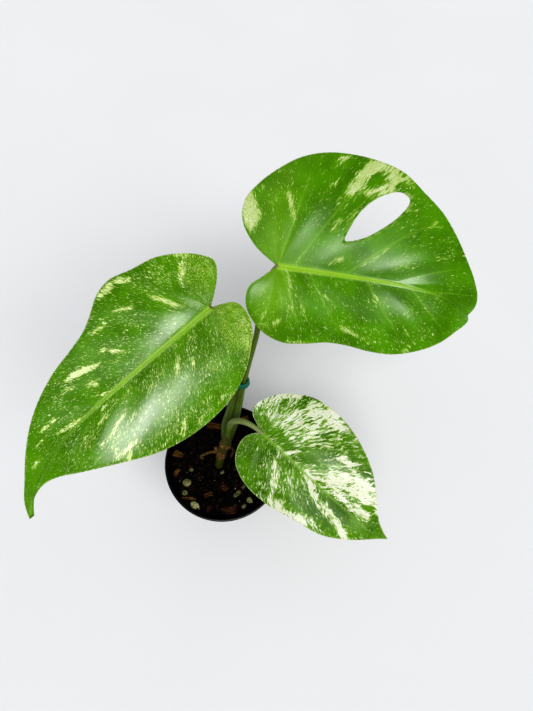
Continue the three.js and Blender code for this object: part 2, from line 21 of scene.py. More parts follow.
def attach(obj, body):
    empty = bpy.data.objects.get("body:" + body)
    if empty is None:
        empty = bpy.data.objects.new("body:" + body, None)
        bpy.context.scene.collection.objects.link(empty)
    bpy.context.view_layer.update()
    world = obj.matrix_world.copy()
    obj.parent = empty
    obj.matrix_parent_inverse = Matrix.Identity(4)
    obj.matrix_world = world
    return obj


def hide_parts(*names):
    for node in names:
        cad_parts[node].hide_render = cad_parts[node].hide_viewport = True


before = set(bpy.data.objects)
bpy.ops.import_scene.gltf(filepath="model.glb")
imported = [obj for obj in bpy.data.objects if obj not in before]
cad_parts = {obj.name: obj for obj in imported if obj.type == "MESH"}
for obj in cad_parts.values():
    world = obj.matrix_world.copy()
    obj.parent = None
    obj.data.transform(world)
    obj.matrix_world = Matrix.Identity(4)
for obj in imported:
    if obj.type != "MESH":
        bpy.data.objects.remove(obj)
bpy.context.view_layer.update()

LOG = logging.getLogger("potted_monstera")
MM = 0.001
MM_PER_METRE = 1000.0
ROOT = "root"
PLANT_PLACE = np.array([-0.5, -3.0, 0.0])
Colour = tuple[float, float, float, float]
Faces = list[list[int]]
Point = Sequence[float]
Path = Sequence[Point]
Array = np.ndarray


def srgb(red: float, green: float, blue: float) -> Colour:
    """Linear colour of a screen colour given from 0 to 255."""
    linear = [((c / 255 + 0.055) / 1.055) ** 2.4 if c > 10 else c / 255 / 12.92 for c in (red, green, blue)]
    return linear[0], linear[1], linear[2], 1.0


# Curves and meshes


def run_lengths(points: Array) -> Array:
    """Distance to each point along the line that the points make."""
    return np.concatenate([[0], np.cumsum(norm(np.diff(points, axis=0), axis=1))])


class SmoothPath:
    """Centripetal curve through points, as the solids' paths are."""

    def __init__(self, points: Path, closed: bool = False) -> None:
        """Keeps the points, with one more beyond each end to steer by.

        Args:
            points: places that the curve passes through.
            closed: True where the last point leads back to the first.
        """
        inner = np.array(points, float)
        if closed:
            self.knots = np.vstack([inner[-1:], inner, inner[:2]])
        else:
            self.knots = np.vstack([2 * inner[0] - inner[1], inner, 2 * inner[-1] - inner[-2]])
        self.spans = len(self.knots) - 3

    def at(self, share: Array) -> Array:
        """Points of the curve.

        Args:
            share: places from 0 to 1, counted evenly from point to point.

        Returns:
            One row for each place.
        """
        place = np.clip(np.asarray(share, float), 0, 1) * self.spans
        low = np.minimum(place.astype(int), self.spans - 1)
        w = (place - low)[:, None]
        p0, p1, p2, p3 = (self.knots[low + i] for i in range(4))
        chords = ((p0, p1), (p1, p2), (p2, p3))
        d0, d1, d2 = (np.sum((b - a) ** 2, axis=1)[:, None] ** 0.25 for a, b in chords)
        into = ((p1 - p0) / d0 - (p2 - p0) / (d0 + d1) + (p2 - p1) / d1) * d1
        out = ((p2 - p1) / d1 - (p3 - p1) / (d1 + d2) + (p3 - p2) / d2) * d1
        square = -3 * p1 + 3 * p2 - 2 * into - out
        cube = 2 * p1 - 2 * p2 + into + out
        return p1 + into * w + square * w**2 + cube * w**3

    def even(self, count: int) -> Array:
        """Points at even distances along the curve.

        Args:
            count: how many points, the two ends included.

        Returns:
            One row for each point.
        """
        fine = self.at(np.linspace(0, 1, 60 * self.spans + 1))
        length = run_lengths(fine)
        wanted = np.linspace(0, length[-1], count)
        return np.stack([np.interp(wanted, length, fine[:, axis]) for axis in range(fine.shape[1])], axis=1)


def new_object(name: str, mesh: Mesh, material: Material | None = None) -> Object:
    """Adds a mesh to the scene as an object.

    Args:
        name: name of the piece and its mesh.
        mesh: the mesh, with its place in its points.
        material: material for the whole mesh, or None to keep what it has.

    Returns:
        The new object.
    """
    mesh.name = name
    piece = bpy.data.objects.new(name, mesh)
    bpy.context.scene.collection.objects.link(piece)
    if material:
        mesh.materials.clear()
        mesh.materials.append(material)
    return piece


def mesh_from(points: Array, faces: Iterable[Sequence[int]], crease: float | None = None) -> Mesh:
    """Makes a smooth-shaded mesh from points in millimetres.

    Args:
        points: one row for each point.
        faces: point numbers round each face, seen from outside.
        crease: angle in degrees above which an edge stays sharp, or None for no sharp edge.

    Returns:
        The mesh, in metres.
    """
    mesh = bpy.data.meshes.new("piece")
    mesh.from_pydata((np.asarray(points) * MM).tolist(), [], [list(map(int, face)) for face in faces])
    mesh.shade_smooth()
    if crease is not None:
        mesh.set_sharp_from_angle(angle=radians(crease))
    return mesh


def point_values(mesh: Mesh, name: str, values: Array) -> None:
    """Stores one number for each point of a mesh, for its material to read."""
    layer = mesh.attributes.new(name, "FLOAT", "POINT")
    layer.data.foreach_set("value", np.asarray(values, np.float32))


def map_values(mesh: Mesh, name: str, places: Array) -> None:
    """Stores one place in millimetres for each face corner of a mesh, for its material to read."""
    layer = mesh.uv_layers.new(name=name)
    layer.data.foreach_set("uv", (places * MM).ravel().astype(np.float32))


def finished(source: Object, name: str) -> Object:
    """Turns an object's live modifiers into a plain mesh of its own.

    Args:
        source: object with modifiers. It is removed.
        name: name of the piece that takes its place.

    Returns:
        The piece, without modifiers.
    """
    graph = bpy.context.evaluated_depsgraph_get()
    shaped = source.evaluated_get(graph)
    mesh = bpy.data.meshes.new_from_object(shaped, preserve_all_data_layers=True, depsgraph=graph)
    source.modifiers.clear()
    bpy.data.objects.remove(source)
    return new_object(name, mesh)


def seat(piece: Object, slot: str, *nodes: str) -> Object:
    """Rides a piece on the part's one body and reports it.

    Args:
        piece: the finished piece.
        slot: material slot of the record; it is not used.
        nodes: solids that it stands for.

    Returns:
        The same piece.
    """
    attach(piece, ROOT)
    if nodes:
        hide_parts(*nodes)
    LOG.info("%s: %d faces", piece.name, len(piece.data.polygons))
    return piece


# Node trees


class Graph:
    """Short ways to add and join the nodes of one tree."""

    # Places of the sockets of a Mix node that mixes colours
    MIX_INPUTS = (0, 6, 7)
    MIX_COLOUR = 2

    def __init__(self, tree: bpy.types.NodeTree) -> None:
        """Works on the given tree."""
        self.tree = tree

    def put(self, socket: NodeSocket, value: object) -> None:
        """Joins an output to a socket, or sets the socket's own value.

        Args:
            socket: the input to feed.
            value: an output, a plain value, or None to leave the input alone.
        """
        if isinstance(value, NodeSocket):
            self.tree.links.new(value, socket)
        elif value is not None:
            socket.default_value = value

    def add(
        self, kind: str, settings: dict[str, object] | None = None, *first: object, **named: object
    ) -> Node:
        """Adds a node.

        Args:
            kind: the node's type.
            settings: its own properties.
            first: values or outputs for its first inputs.
            named: values or outputs for inputs by their name, with _ for each blank.

        Returns:
            The node.
        """
        node = self.tree.nodes.new(kind)
        for key, value in (settings or {}).items():
            setattr(node, key, value)
        for socket, value in zip(node.inputs, first):
            self.put(socket, value)
        for key, value in named.items():
            self.put(node.inputs[key.replace("_", " ")], value)
        return node

    def math(self, operation: str, *values: object) -> NodeSocket:
        """Output of a Math node."""
        return self.add("ShaderNodeMath", {"operation": operation}, *values).outputs[0]

    def vector(self, operation: str, *values: object) -> NodeSocket:
        """Output of a Vector Math node that works on vectors."""
        return self.add("ShaderNodeVectorMath", {"operation": operation}, *values).outputs[0]

    def times(self, a: object, b: object) -> NodeSocket:
        """Product of two numbers."""
        return self.math("MULTIPLY", a, b)

    def plus(self, a: object, b: object) -> NodeSocket:
        """Sum of two numbers."""
        return self.math("ADD", a, b)

    def stretched(self, vector: object, by: object) -> NodeSocket:
        """Vector multiplied by another, axis by axis."""
        return self.vector("MULTIPLY", vector, by)

    def scaled(self, vector: object, by: object) -> NodeSocket:
        """Vector multiplied by a number."""
        return self.add("ShaderNodeVectorMath", {"operation": "SCALE"}, vector, Scale=by).outputs[0]

    def made(self, **axes: object) -> NodeSocket:
        """Vector made of its axes, with 0 for one not given."""
        return self.add("ShaderNodeCombineXYZ", {}, **axes).outputs[0]

    def axis(self, vector: object, letter: str) -> NodeSocket:
        """One axis of a vector."""
        return self.add("ShaderNodeSeparateXYZ", {}, Vector=vector).outputs[letter]

    def mix(self, share: object, a: object, b: object) -> NodeSocket:
        """Colour between two others.

        Args:
            share: 0 for the first colour, 1 for the second.
            a: first colour.
            b: second colour.

        Returns:
            The mixed colour.
        """
        node = self.add("ShaderNodeMix", {"data_type": "RGBA", "clamp_factor": True})
        for index, value in zip(self.MIX_INPUTS, (share, a, b)):
            self.put(node.inputs[index], value)
        return node.outputs[self.MIX_COLOUR]

    def step(self, value: object, low: object, high: object) -> NodeSocket:
        """Soft step from 0 at low to 1 at high."""
        smooth = {"interpolation_type": "SMOOTHSTEP"}
        return self.add("ShaderNodeMapRange", smooth, value, low, high).outputs["Result"]

    def span(self, value: object, low: float, high: float, start: float, end: float) -> NodeSocket:
        """Straight run from start at low to end at high."""
        return self.add("ShaderNodeMapRange", {}, value, low, high, start, end).outputs["Result"]

    def noise(self, place: object, scale: float, detail: float = 3, roughness: float = 0.55) -> NodeSocket:
        """Grey cloud pattern around one half."""
        look = {"Vector": place, "Scale": scale, "Detail": detail, "Roughness": roughness}
        return self.add("ShaderNodeTexNoise", {}, **look).outputs["Fac"]

    def swirl(self, place: object, scale: float) -> NodeSocket:
        """Cloud pattern of vectors around zero."""
        cloud = self.add("ShaderNodeTexNoise", {}, Vector=place, Scale=scale, Detail=2.0).outputs["Color"]
        return self.vector("SUBTRACT", cloud, (0.5, 0.5, 0.5))

    def attribute(self, name: str, output: str = "Fac") -> NodeSocket:
        """Values stored on the mesh under a name."""
        return self.add("ShaderNodeAttribute", {"attribute_name": name}).outputs[output]


class Tree:
    """A node tree of its own, with named inputs and outputs."""

    KINDS = {int: "NodeSocketInt", float: "NodeSocketFloat", tuple: "NodeSocketVector"}

    def __init__(self, name: str, kind: str) -> None:
        """Makes the tree with its ends.

        Args:
            name: the tree's name.
            kind: the tree's type.
        """
        self.tree = bpy.data.node_groups.new(name, kind)
        self.graph = Graph(self.tree)
        self.given = self.tree.nodes.new("NodeGroupInput").outputs
        self.result = self.tree.nodes.new("NodeGroupOutput").inputs

    def socket(self, name: str, way: str, kind: str) -> NodeTreeInterfaceSocket:
        """Adds a named input or output, with INPUT or OUTPUT for its way."""
        return self.tree.interface.new_socket(name, in_out=way, socket_type=kind)

    def takes(self, inputs: dict[str, object]) -> dict[str, str]:
        """Adds inputs for numbers and vectors.

        Args:
            inputs: names and first values.

        Returns:
            The identifier of each, by its name.
        """
        made = {key: self.socket(key, "INPUT", self.KINDS[type(value)]) for key, value in inputs.items()}
        for key, socket in made.items():
            socket.default_value = inputs[key]
        return {key: socket.identifier for key, socket in made.items()}


class Effect(Tree):
    """A shader node group, made once and used by several materials."""

    def __init__(self, name: str, inputs: dict[str, object], outputs: Sequence[str]) -> None:
        """Makes the group's sockets.

        Args:
            name: the group's name.
            inputs: input names with their first values, a tuple for a vector.
            outputs: names of the values that it puts out.
        """
        super().__init__(name, "ShaderNodeTree")
        self.takes(inputs)
        for key in outputs:
            self.socket(key, "OUTPUT", "NodeSocketFloat")

    def use(self, graph: Graph, **inputs: object) -> bpy.types.bpy_prop_collection:
        """Outputs of the group placed in a material's tree, with its inputs fed by name."""
        return graph.add("ShaderNodeGroup", {"node_tree": self.tree}, **inputs).outputs


@cache
def mint_marks() -> Effect:
    """Cream marks of the leaves: ragged splashes, their pale halo, small flecks and a fine mottle.

    Returns:
        The group. Flow is in millimetres, across and along the side veins.
    """
    effect = Effect(
        "Mint marks",
        {"Flow": (0.0, 0.0, 0.0), "Shift": 0.0, "Cream": 0.0, "Specks": 0.3, "Mottle": 0.3, "Torn": 0.62},
        ("Splash", "Halo", "Fleck", "Mottle"),
    )
    g, given = effect.graph, effect.given
    flow = g.vector("ADD", given["Flow"], g.made(Z=given["Shift"]))

    def warped(place: NodeSocket, scale: float, reach: tuple[float, float, float]) -> NodeSocket:
        """Place pushed about by a cloud pattern."""
        return g.vector("ADD", place, g.stretched(g.swirl(place, scale), reach))

    swept = warped(flow, 0.2, (4.0, 3.0, 0.0))
    bent = warped(swept, 1.1, (1.1, 1.3, 0.0))
    drawn = warped(swept, 0.6, (0.7, 1.2, 0.0))
    coarse = g.noise(g.stretched(bent, (0.4, 0.15, 1)), 1, 5, 0.62)
    ragged = g.noise(g.stretched(drawn, (1.15, 0.24, 1)), 1, 3, 0.7)
    whole = g.math("SUBTRACT", 1.0, given["Torn"])
    body = g.plus(g.times(coarse, whole), g.times(ragged, given["Torn"]))
    body = g.span(body, 0.34, 0.66, 0.22, 0.78)
    body.node.clamp = False
    level = g.span(given["Cream"], 0, 1.2, 0.8, 0.26)
    g.put(effect.result["Splash"], g.step(body, level, g.plus(level, 0.05)))
    g.put(effect.result["Halo"], g.step(body, g.math("SUBTRACT", level, 0.11), g.plus(level, 0.02)))
    crowd = g.step(g.noise(g.stretched(flow, (0.07, 0.05, 1)), 1, 4, 0.65), 0.4, 0.64)
    share = g.times(given["Specks"], g.span(crowd, 0, 1, 0.12, 1.5))
    # Cells across and along, share of them that hold a fleck, smallest and largest fleck in a cell
    layers = (
        ((1.15, 0.3), 0.45, 0.14, 0.4),
        ((1.7, 0.55), 0.6, 0.14, 0.4),
        ((1.3, 0.16), 0.4, 0.1, 0.34),
        ((2.4, 0.36), 0.5, 0.14, 0.4),
    )
    flecks = None
    for size, keep, low, high in layers:
        cells = g.add("ShaderNodeTexVoronoi", {}, Vector=g.stretched(drawn, (*size, 1)), Scale=1.0)
        draw = g.add("ShaderNodeSeparateColor", {}, Color=cells.outputs["Color"]).outputs
        chosen = g.math("LESS_THAN", draw[0], g.times(share, keep))
        radius = g.times(g.span(draw[1], 0, 1, low, high), chosen)
        dot = g.step(g.math("SUBTRACT", radius, cells.outputs["Distance"]), 0, 0.14)
        dot = g.times(dot, g.span(draw[2], 0, 1, 0.3, 1))
        flecks = dot if flecks is None else g.math("MAXIMUM", flecks, dot)
    g.put(effect.result["Fleck"], flecks)
    salt = g.noise(g.stretched(bent, (0.95, 0.6, 1)), 1, 2, 0.6)
    salt = g.step(salt, g.span(given["Mottle"], 0, 1, 0.7, 0.48), g.span(given["Mottle"], 0, 1, 0.84, 0.56))
    g.put(effect.result["Mottle"], g.times(salt, g.span(crowd, 0, 1, 0.5, 1)))
    return effect


@cache
def plant_skin() -> Effect:
    """Fine grain of living skin: cell bumps, faint strands along it and slow changes of tone.

    Returns:
        The group. Place is in millimetres, with Y or Z along the strands.
    """
    inputs = {"Place": (0.0, 0.0, 0.0), "Stretch": (1.0, 0.1, 0.1)}
    effect = Effect("Plant skin", inputs, ("Cells", "Strands", "Tone"))
    g, given = effect.graph, effect.given
    g.put(effect.result["Cells"], g.noise(given["Place"], 4.0, 2, 0.5))
    drawn = g.stretched(given["Place"], given["Stretch"])
    g.put(effect.result["Strands"], g.noise(drawn, 1.4, 4, 0.6))
    g.put(effect.result["Tone"], g.step(g.noise(given["Place"], 0.055, 3, 0.5), 0.3, 0.7))
    return effect


@cache
def rough_matter() -> Effect:
    """Broken matter such as bark, perlite and mix: lumps, pores and a speckled tone.

    Returns:
        The group. Place is in millimetres.
    """
    inputs = {"Place": (0.0, 0.0, 0.0), "Coarseness": 1.0}
    effect = Effect("Rough matter", inputs, ("Lumps", "Pores", "Tone"))
    g, given = effect.graph, effect.given
    even = g.made(X=given["Coarseness"], Y=given["Coarseness"], Z=given["Coarseness"])
    place = g.stretched(given["Place"], even)
    g.put(effect.result["Lumps"], g.noise(place, 0.8, 6, 0.65))
    holes = g.add("ShaderNodeTexVoronoi", {}, Vector=place, Scale=1.6).outputs["Distance"]
    g.put(effect.result["Pores"], g.step(holes, 0.08, 0.4))
    g.put(effect.result["Tone"], g.step(g.noise(place, 0.45, 4, 0.7), 0.36, 0.66))
    return effect


class Surface:
    """A material around one Principled shader."""

    def __init__(self, name: str, **constants: object) -> None:
        """Starts the material.

        Args:
            name: the material's name.
            constants: even values for the shader's own sockets, named with _ for each blank.
        """
        self.material = bpy.data.materials.new(name)
        self.material.use_nodes = True
        self.shader = self.material.node_tree.nodes["Principled BSDF"]
        self.graph = Graph(self.material.node_tree)
        for key, value in constants.items():
            self.shader.inputs[key.replace("_", " ")].default_value = value

    def place(self) -> NodeSocket:
        """Object coordinates in millimetres."""
        spot = self.graph.add("ShaderNodeTexCoord").outputs["Object"]
        return self.graph.stretched(spot, 3 * (MM_PER_METRE,))

    def mapped(self, name: str) -> NodeSocket:
        """Place on a map that the piece carries, in millimetres."""
        spot = self.graph.add("ShaderNodeUVMap", {"uv_map": name}).outputs[0]
        return self.graph.stretched(spot, (MM_PER_METRE, MM_PER_METRE, 0.0))

    def bump(self, height: object, depth: float, under: NodeSocket | None = None) -> NodeSocket:
        """Feeds a height in millimetres to the shader's normal.

        Args:
            height: the height pattern.
            depth: the pattern's full height in millimetres.
            under: normal from an earlier bump.

        Returns:
            The bumped normal.
        """
        g = self.graph
        node = g.add("ShaderNodeBump", {}, Strength=1.0, Distance=depth * MM, Height=height, Normal=under)
        g.put(self.shader.inputs["Normal"], node.outputs["Normal"])
        return node.outputs["Normal"]

    def feed(self, **sources: object) -> Material:
        """Joins outputs to the shader's inputs.

        Args:
            sources: outputs by the name of their input, with _ for each blank.

        Returns:
            The material.
        """
        for key, value in sources.items():
            self.graph.put(self.shader.inputs[key.replace("_", " ")], value)
        return self.material


# Finishes


class Face(Enum):
    """The two sides of a blade."""

    UPPER = "upper"
    UNDER = "under"


@dataclass(frozen=True)
class LeafFinish:
    """Waxy green blade with cream marks."""

    name: str
    shift: float
    deep: Colour = srgb(66, 112, 1)
    bright: Colour = srgb(92, 148, 6)
    lime: Colour = srgb(122, 166, 30)
    rib: Colour = srgb(152, 190, 48)
    pale: Colour = srgb(144, 178, 56)
    cream: Colour = srgb(200, 207, 166)
    butter: Colour = srgb(160, 180, 104)
    fleck: Colour = srgb(214, 222, 158)
    scar: Colour = srgb(104, 84, 34)
    under_deep: Colour = srgb(84, 132, 62)
    under_bright: Colour = srgb(118, 160, 88)
    roughness: float = 0.28
    under_dullness: float = 0.22
    torn: float = 0.62
    specular: float = 0.07
    under_specular: float = 0.4
    coat_roughness: float = 0.27
    coat_ior: float = 1.8
    glow: float = 0.06
    glow_reach: tuple[float, float, float] = (0.4, 1.0, 0.1)

    def material(self, face: Face) -> Material:
        """Builds the material of one side.

        Args:
            face: which side of the blade it covers.

        Returns:
            The material.
        """
        upper = face is Face.UPPER
        surface = Surface(
            f"{self.name}_{face.value}",
            Specular_IOR_Level=self.specular if upper else self.under_specular,
            Coat_Roughness=self.coat_roughness,
            Coat_IOR=self.coat_ior,
            Subsurface_Weight=self.glow,
            Subsurface_Radius=self.glow_reach,
            Subsurface_Scale=MM,
        )
        g = surface.graph
        flow = surface.mapped("flow")
        read = {key: g.attribute(key) for key in ("cream", "specks", "mottle")}
        marks = mint_marks().use(
            g, Flow=flow, Shift=self.shift, Torn=self.torn,
            Cream=read["cream"], Specks=read["specks"], Mottle=read["mottle"],
        )
        skin = plant_skin().use(g, Place=surface.place(), Stretch=(1.0, 1.0, 1.0))
        drawn = plant_skin().use(g, Place=flow, Stretch=(0.6, 0.05, 1.0))
        rib, vein, edge, scar = (g.attribute(key) for key in ("rib", "vein", "edge", "scar"))
        streaks = g.span(drawn["Strands"], 0.3, 0.7, 0.03, 0.13)
        tone = g.plus(g.times(skin["Tone"], 0.62), streaks)
        tones = (self.deep, self.bright) if upper else (self.under_deep, self.under_bright)
        green = g.mix(tone, *tones)
        green = g.mix(g.times(g.attribute("lime"), 0.7), green, self.lime)
        green = g.mix(g.times(vein, 0.45 if upper else 0.6), green, self.lime)
        green = g.mix(g.times(marks["Mottle"], 0.8), green, self.pale)
        green = g.mix(g.times(marks["Halo"], 0.8), green, self.pale)
        dull = g.plus(g.step(skin["Strands"], 0.41, 0.6), g.span(drawn["Tone"], 0, 1, -0.15, 0.45))
        white = g.mix(dull, self.cream, self.butter)
        marked = g.mix(g.times(marks["Fleck"], 0.95), green, self.fleck)
        marked = g.mix(marks["Splash"], marked, white)
        if not upper:
            marked = g.mix(0.45, marked, green)
        ribbed = g.mix(g.times(rib, 0.86), marked, self.rib)
        # Pale line along the margin, broken up by the strands: partly the margin's own pale cells, partly a
        # painted rim highlight.
        patchy = g.span(skin["Strands"], 0.35, 0.6, 0.35, 0.85)
        edged = g.mix(g.times(edge, patchy), ribbed, self.butter)
        cells = surface.bump(skin["Cells"], 0.025 if upper else 0.05)
        surface.bump(drawn["Strands"], 0.008 if upper else 0.15, cells)
        low = self.roughness if upper else self.roughness + self.under_dullness
        return surface.feed(
            Base_Color=g.mix(scar, edged, self.scar),
            Roughness=g.span(drawn["Strands"], 0.3, 0.7, low - 0.02, low + 0.04),
            Coat_Weight=g.times(g.attribute("wax"), g.span(rib, 0, 1, 1.0, 0.2) if upper else 0.2),
        )


@dataclass(frozen=True)
class StalkFinish:
    """Smooth olive skin with faint strands along it, paler where it bends at the blade."""

    name: str
    shade: Colour = srgb(60, 76, 8)
    light: Colour = srgb(104, 126, 30)
    bend: Colour = srgb(140, 149, 104)
    sheath: Colour = srgb(44, 62, 1)

    def material(self) -> Material:
        """Builds the material, which reads along, ring, knee and foot from the mesh.

        Returns:
            The material.
        """
        inside = {"Subsurface_Weight": 0.05, "Subsurface_Scale": 1.5 * MM}
        surface = Surface(self.name, Specular_IOR_Level=0.3, **inside)
        g = surface.graph
        ring = g.stretched(g.attribute("ring", "Vector"), (3.0, 3.0, 0.0))
        along, knee = g.attribute("along"), g.attribute("knee")
        skin = plant_skin().use(g, Place=g.vector("ADD", ring, g.made(Z=along)), Stretch=(1.4, 1.4, 0.06))
        green = g.mix(g.step(skin["Strands"], 0.32, 0.68), self.shade, self.light)
        green = g.mix(g.times(g.attribute("foot"), 0.7), green, self.sheath)
        colour = g.mix(g.times(knee, 0.75), green, self.bend)
        wrinkles = g.math("SINE", g.times(along, 5.5))
        folds = surface.bump(g.times(wrinkles, knee), 0.05)
        surface.bump(skin["Strands"], 0.18, folds)
        return surface.feed(Base_Color=colour, Roughness=g.span(skin["Cells"], 0.3, 0.7, 0.36, 0.5))


@dataclass(frozen=True)
class StemFinish:
    """Olive stem skin, with a brown corky ring at the node and tan roots."""

    name: str
    skin: Colour = srgb(84, 86, 18)
    skin_dark: Colour = srgb(46, 44, 10)
    cork: Colour = srgb(140, 106, 58)
    cork_dark: Colour = srgb(66, 42, 20)
    root: Colour = srgb(110, 86, 38)

    def material(self) -> Material:
        """Builds the material, which reads cork and root from the mesh.

        Returns:
            The material.
        """
        surface = Surface(self.name, Specular_IOR_Level=0.35)
        g = surface.graph
        place = surface.place()
        skin = plant_skin().use(g, Place=place, Stretch=(1.2, 1.2, 0.15))
        matter = rough_matter().use(g, Place=place, Coarseness=1.3)
        green = g.mix(g.step(skin["Strands"], 0.35, 0.65), self.skin_dark, self.skin)
        cork = g.mix(matter["Tone"], self.cork_dark, self.cork)
        root = g.mix(matter["Tone"], self.cork_dark, self.root)
        ragged = g.plus(g.attribute("cork"), g.span(matter["Lumps"], 0, 1, -0.35, 0.35))
        patchy = g.step(ragged, 0.35, 0.65)
        colour = g.mix(g.attribute("root"), g.mix(patchy, green, cork), root)
        surface.bump(matter["Lumps"], 0.35, surface.bump(skin["Strands"], 0.15))
        return surface.feed(Base_Color=colour, Roughness=g.span(patchy, 0, 1, 0.45, 0.8))


@dataclass(frozen=True)
class MatterFinish:
    """Dry or moist broken matter in two tones, darker in its pores as painted shade."""

    name: str
    dark: Colour
    light: Colour
    roughness: float = 0.85
    coarseness: float = 1.0
    relief: float = 0.3
    grain: tuple[float, float, float] = (1.0, 1.0, 1.0)

    def material(self) -> Material:
        """Builds the material.

        Returns:
            The material.
        """
        surface = Surface(self.name, Specular_IOR_Level=0.12)
        g = surface.graph
        place = g.stretched(surface.place(), self.grain)
        matter = rough_matter().use(g, Place=place, Coarseness=self.coarseness)
        # Colour darkens in the pores: painted shade in the pits.
        tone = g.times(matter["Tone"], g.span(matter["Pores"], 0, 1, 0.55, 1))
        pores = surface.bump(matter["Pores"], self.relief / 2)
        surface.bump(matter["Lumps"], self.relief, pores)
        rough = g.span(matter["Lumps"], 0.3, 0.7, self.roughness - 0.08, self.roughness + 0.08)
        return surface.feed(Base_Color=g.mix(tone, self.dark, self.light), Roughness=rough)


@dataclass(frozen=True)
class PotFinish:
    """Thin black moulded plastic, with a faint orange-peel skin, scuffs and dust low down."""

    name: str = "pot_plastic"
    black: Colour = srgb(17, 17, 19)
    scuffed: Colour = srgb(46, 45, 46)
    dust: Colour = srgb(92, 84, 74)
    dust_height: float = 26.0

    def material(self) -> Material:
        """Builds the material.

        Returns:
            The material.
        """
        surface = Surface(self.name, Specular_IOR_Level=0.5)
        g = surface.graph
        place = surface.place()
        matter = rough_matter().use(g, Place=place, Coarseness=0.6)
        scratch = g.noise(g.stretched(place, (0.25, 0.25, 2.6)), 1.0, 6, 0.75)
        scuff = g.step(scratch, 0.6, 0.74)
        low = g.times(g.span(g.axis(place, "Z"), 0, self.dust_height, 0.55, 0), matter["Tone"])
        colour = g.mix(low, g.mix(scuff, self.black, self.scuffed), self.dust)
        surface.bump(g.noise(place, 1.2, 2, 0.5), 0.03, surface.bump(scratch, 0.02))
        rough = g.plus(g.span(matter["Lumps"], 0.3, 0.7, 0.26, 0.38), g.times(scuff, 0.2))
        return surface.feed(Base_Color=colour, Roughness=g.plus(rough, g.times(low, 0.3)))


@dataclass(frozen=True)
class TieFinish:
    """Soft teal strip with fine ribs along it, their grooves painted darker as shade, and a slightly worn
    nap.
    """

    name: str = "tie_strip"
    deep: Colour = srgb(4, 74, 62)
    bright: Colour = srgb(22, 128, 106)
    rib_width: float = 0.6

    def material(self) -> Material:
        """Builds the material, which reads the strip's own map.

        Returns:
            The material.
        """
        surface = Surface(self.name, Specular_IOR_Level=0.4)
        g = surface.graph
        strip = surface.mapped("strip")
        ribs = g.math("SINE", g.times(g.axis(strip, "Y"), 2 * pi / self.rib_width))
        skin = plant_skin().use(g, Place=strip, Stretch=(0.3, 2.0, 1.0))
        # Colour lighter on the rib crests and darker in the grooves: painted shade of the ribs, over the
        # strip's own uneven nap.
        tone = g.plus(g.span(ribs, -1, 1, 0, 0.5), g.span(skin["Strands"], 0.3, 0.7, -0.1, 0.6))
        surface.bump(ribs, 0.06, surface.bump(skin["Cells"], 0.05))
        rough = g.span(skin["Cells"], 0.3, 0.7, 0.5, 0.65)
        return surface.feed(Base_Color=g.mix(tone, self.deep, self.bright), Roughness=rough)


# Geometry node trees


class GeometryTree(Tree):
    """A geometry node tree whose inputs are set by identifier on a modifier."""

    def __init__(self, name: str, inputs: dict[str, object]) -> None:
        """Makes the tree's sockets.

        Args:
            name: the tree's name.
            inputs: names and first values of its numbers and vectors.
        """
        super().__init__(name, "GeometryNodeTree")
        self.socket("Geometry", "INPUT", "NodeSocketGeometry")
        self.keys = self.takes(inputs)
        self.keys["Material"] = self.socket("Material", "INPUT", "NodeSocketMaterial").identifier
        self.socket("Geometry", "OUTPUT", "NodeSocketGeometry")

    def close(self, geometry: NodeSocket) -> None:
        """Ends the tree in real geometry with its material.

        Args:
            geometry: the last geometry of the tree.
        """
        g = self.graph
        real = g.add("GeometryNodeRealizeInstances", {}, Geometry=geometry).outputs[0]
        done = g.add("GeometryNodeSetMaterial", {}, Geometry=real, Material=self.given["Material"])
        g.put(self.result[0], done.outputs[0])

    def run(self, source: Object, name: str, material: Material, **values: object) -> Object:
        """Applies the tree to an object.

        Args:
            source: object whose mesh goes in. It is removed.
            name: name of the new piece.
            material: material of the new piece.
            values: numbers and vectors for the tree's inputs, named with _ for each blank.

        Returns:
            The piece, as a plain mesh.
        """
        modifier = source.modifiers.new("tree", "NODES")
        modifier.node_group = self.tree
        modifier[self.keys["Material"]] = material
        for key, value in values.items():
            modifier[self.keys[key.replace("_", " ")]] = value
        return finished(source, name)


@cache
def limb_tree() -> GeometryTree:
    """Sweeps a round limb along each line of points.

    Returns:
        The tree. Each point's girth is its radius. Groove is the depth of the channel
        along one side, as a share of the radius.
    """
    tree = GeometryTree("Swept limb", {"Sides": 16, "Groove": 0.0})
    g, given = tree.graph, tree.given
    circle = g.add("GeometryNodeCurvePrimitiveCircle", {}, Resolution=given["Sides"], Radius=1.0)
    share = g.add("GeometryNodeSplineParameter").outputs["Factor"]
    dent = g.math("POWER", g.math("MAXIMUM", g.math("COSINE", g.times(share, 2 * pi)), 0.0), 14.0)
    position = g.add("GeometryNodeInputPosition").outputs[0]
    store = g.add(
        "GeometryNodeStoreNamedAttribute", {"data_type": "FLOAT_VECTOR"},
        Geometry=circle.outputs["Curve"], Name="ring", Value=position,
    )
    dented = g.scaled(position, g.math("SUBTRACT", 1.0, g.times(dent, given["Groove"])))
    profile = g.add("GeometryNodeSetPosition", {}, Geometry=store.outputs[0], Position=dented)
    girth = g.add("GeometryNodeInputNamedAttribute", {}, Name="girth").outputs["Attribute"]
    line = g.add("GeometryNodeMeshToCurve", {}, Mesh=given["Geometry"]).outputs[0]
    sweep = g.add(
        "GeometryNodeCurveToMesh", {}, Curve=line, Profile_Curve=profile.outputs[0],
        Scale=girth, Fill_Caps=True,
    )
    tree.close(g.add("GeometryNodeSetShadeSmooth", {}, Geometry=sweep.outputs[0]).outputs[0])
    return tree


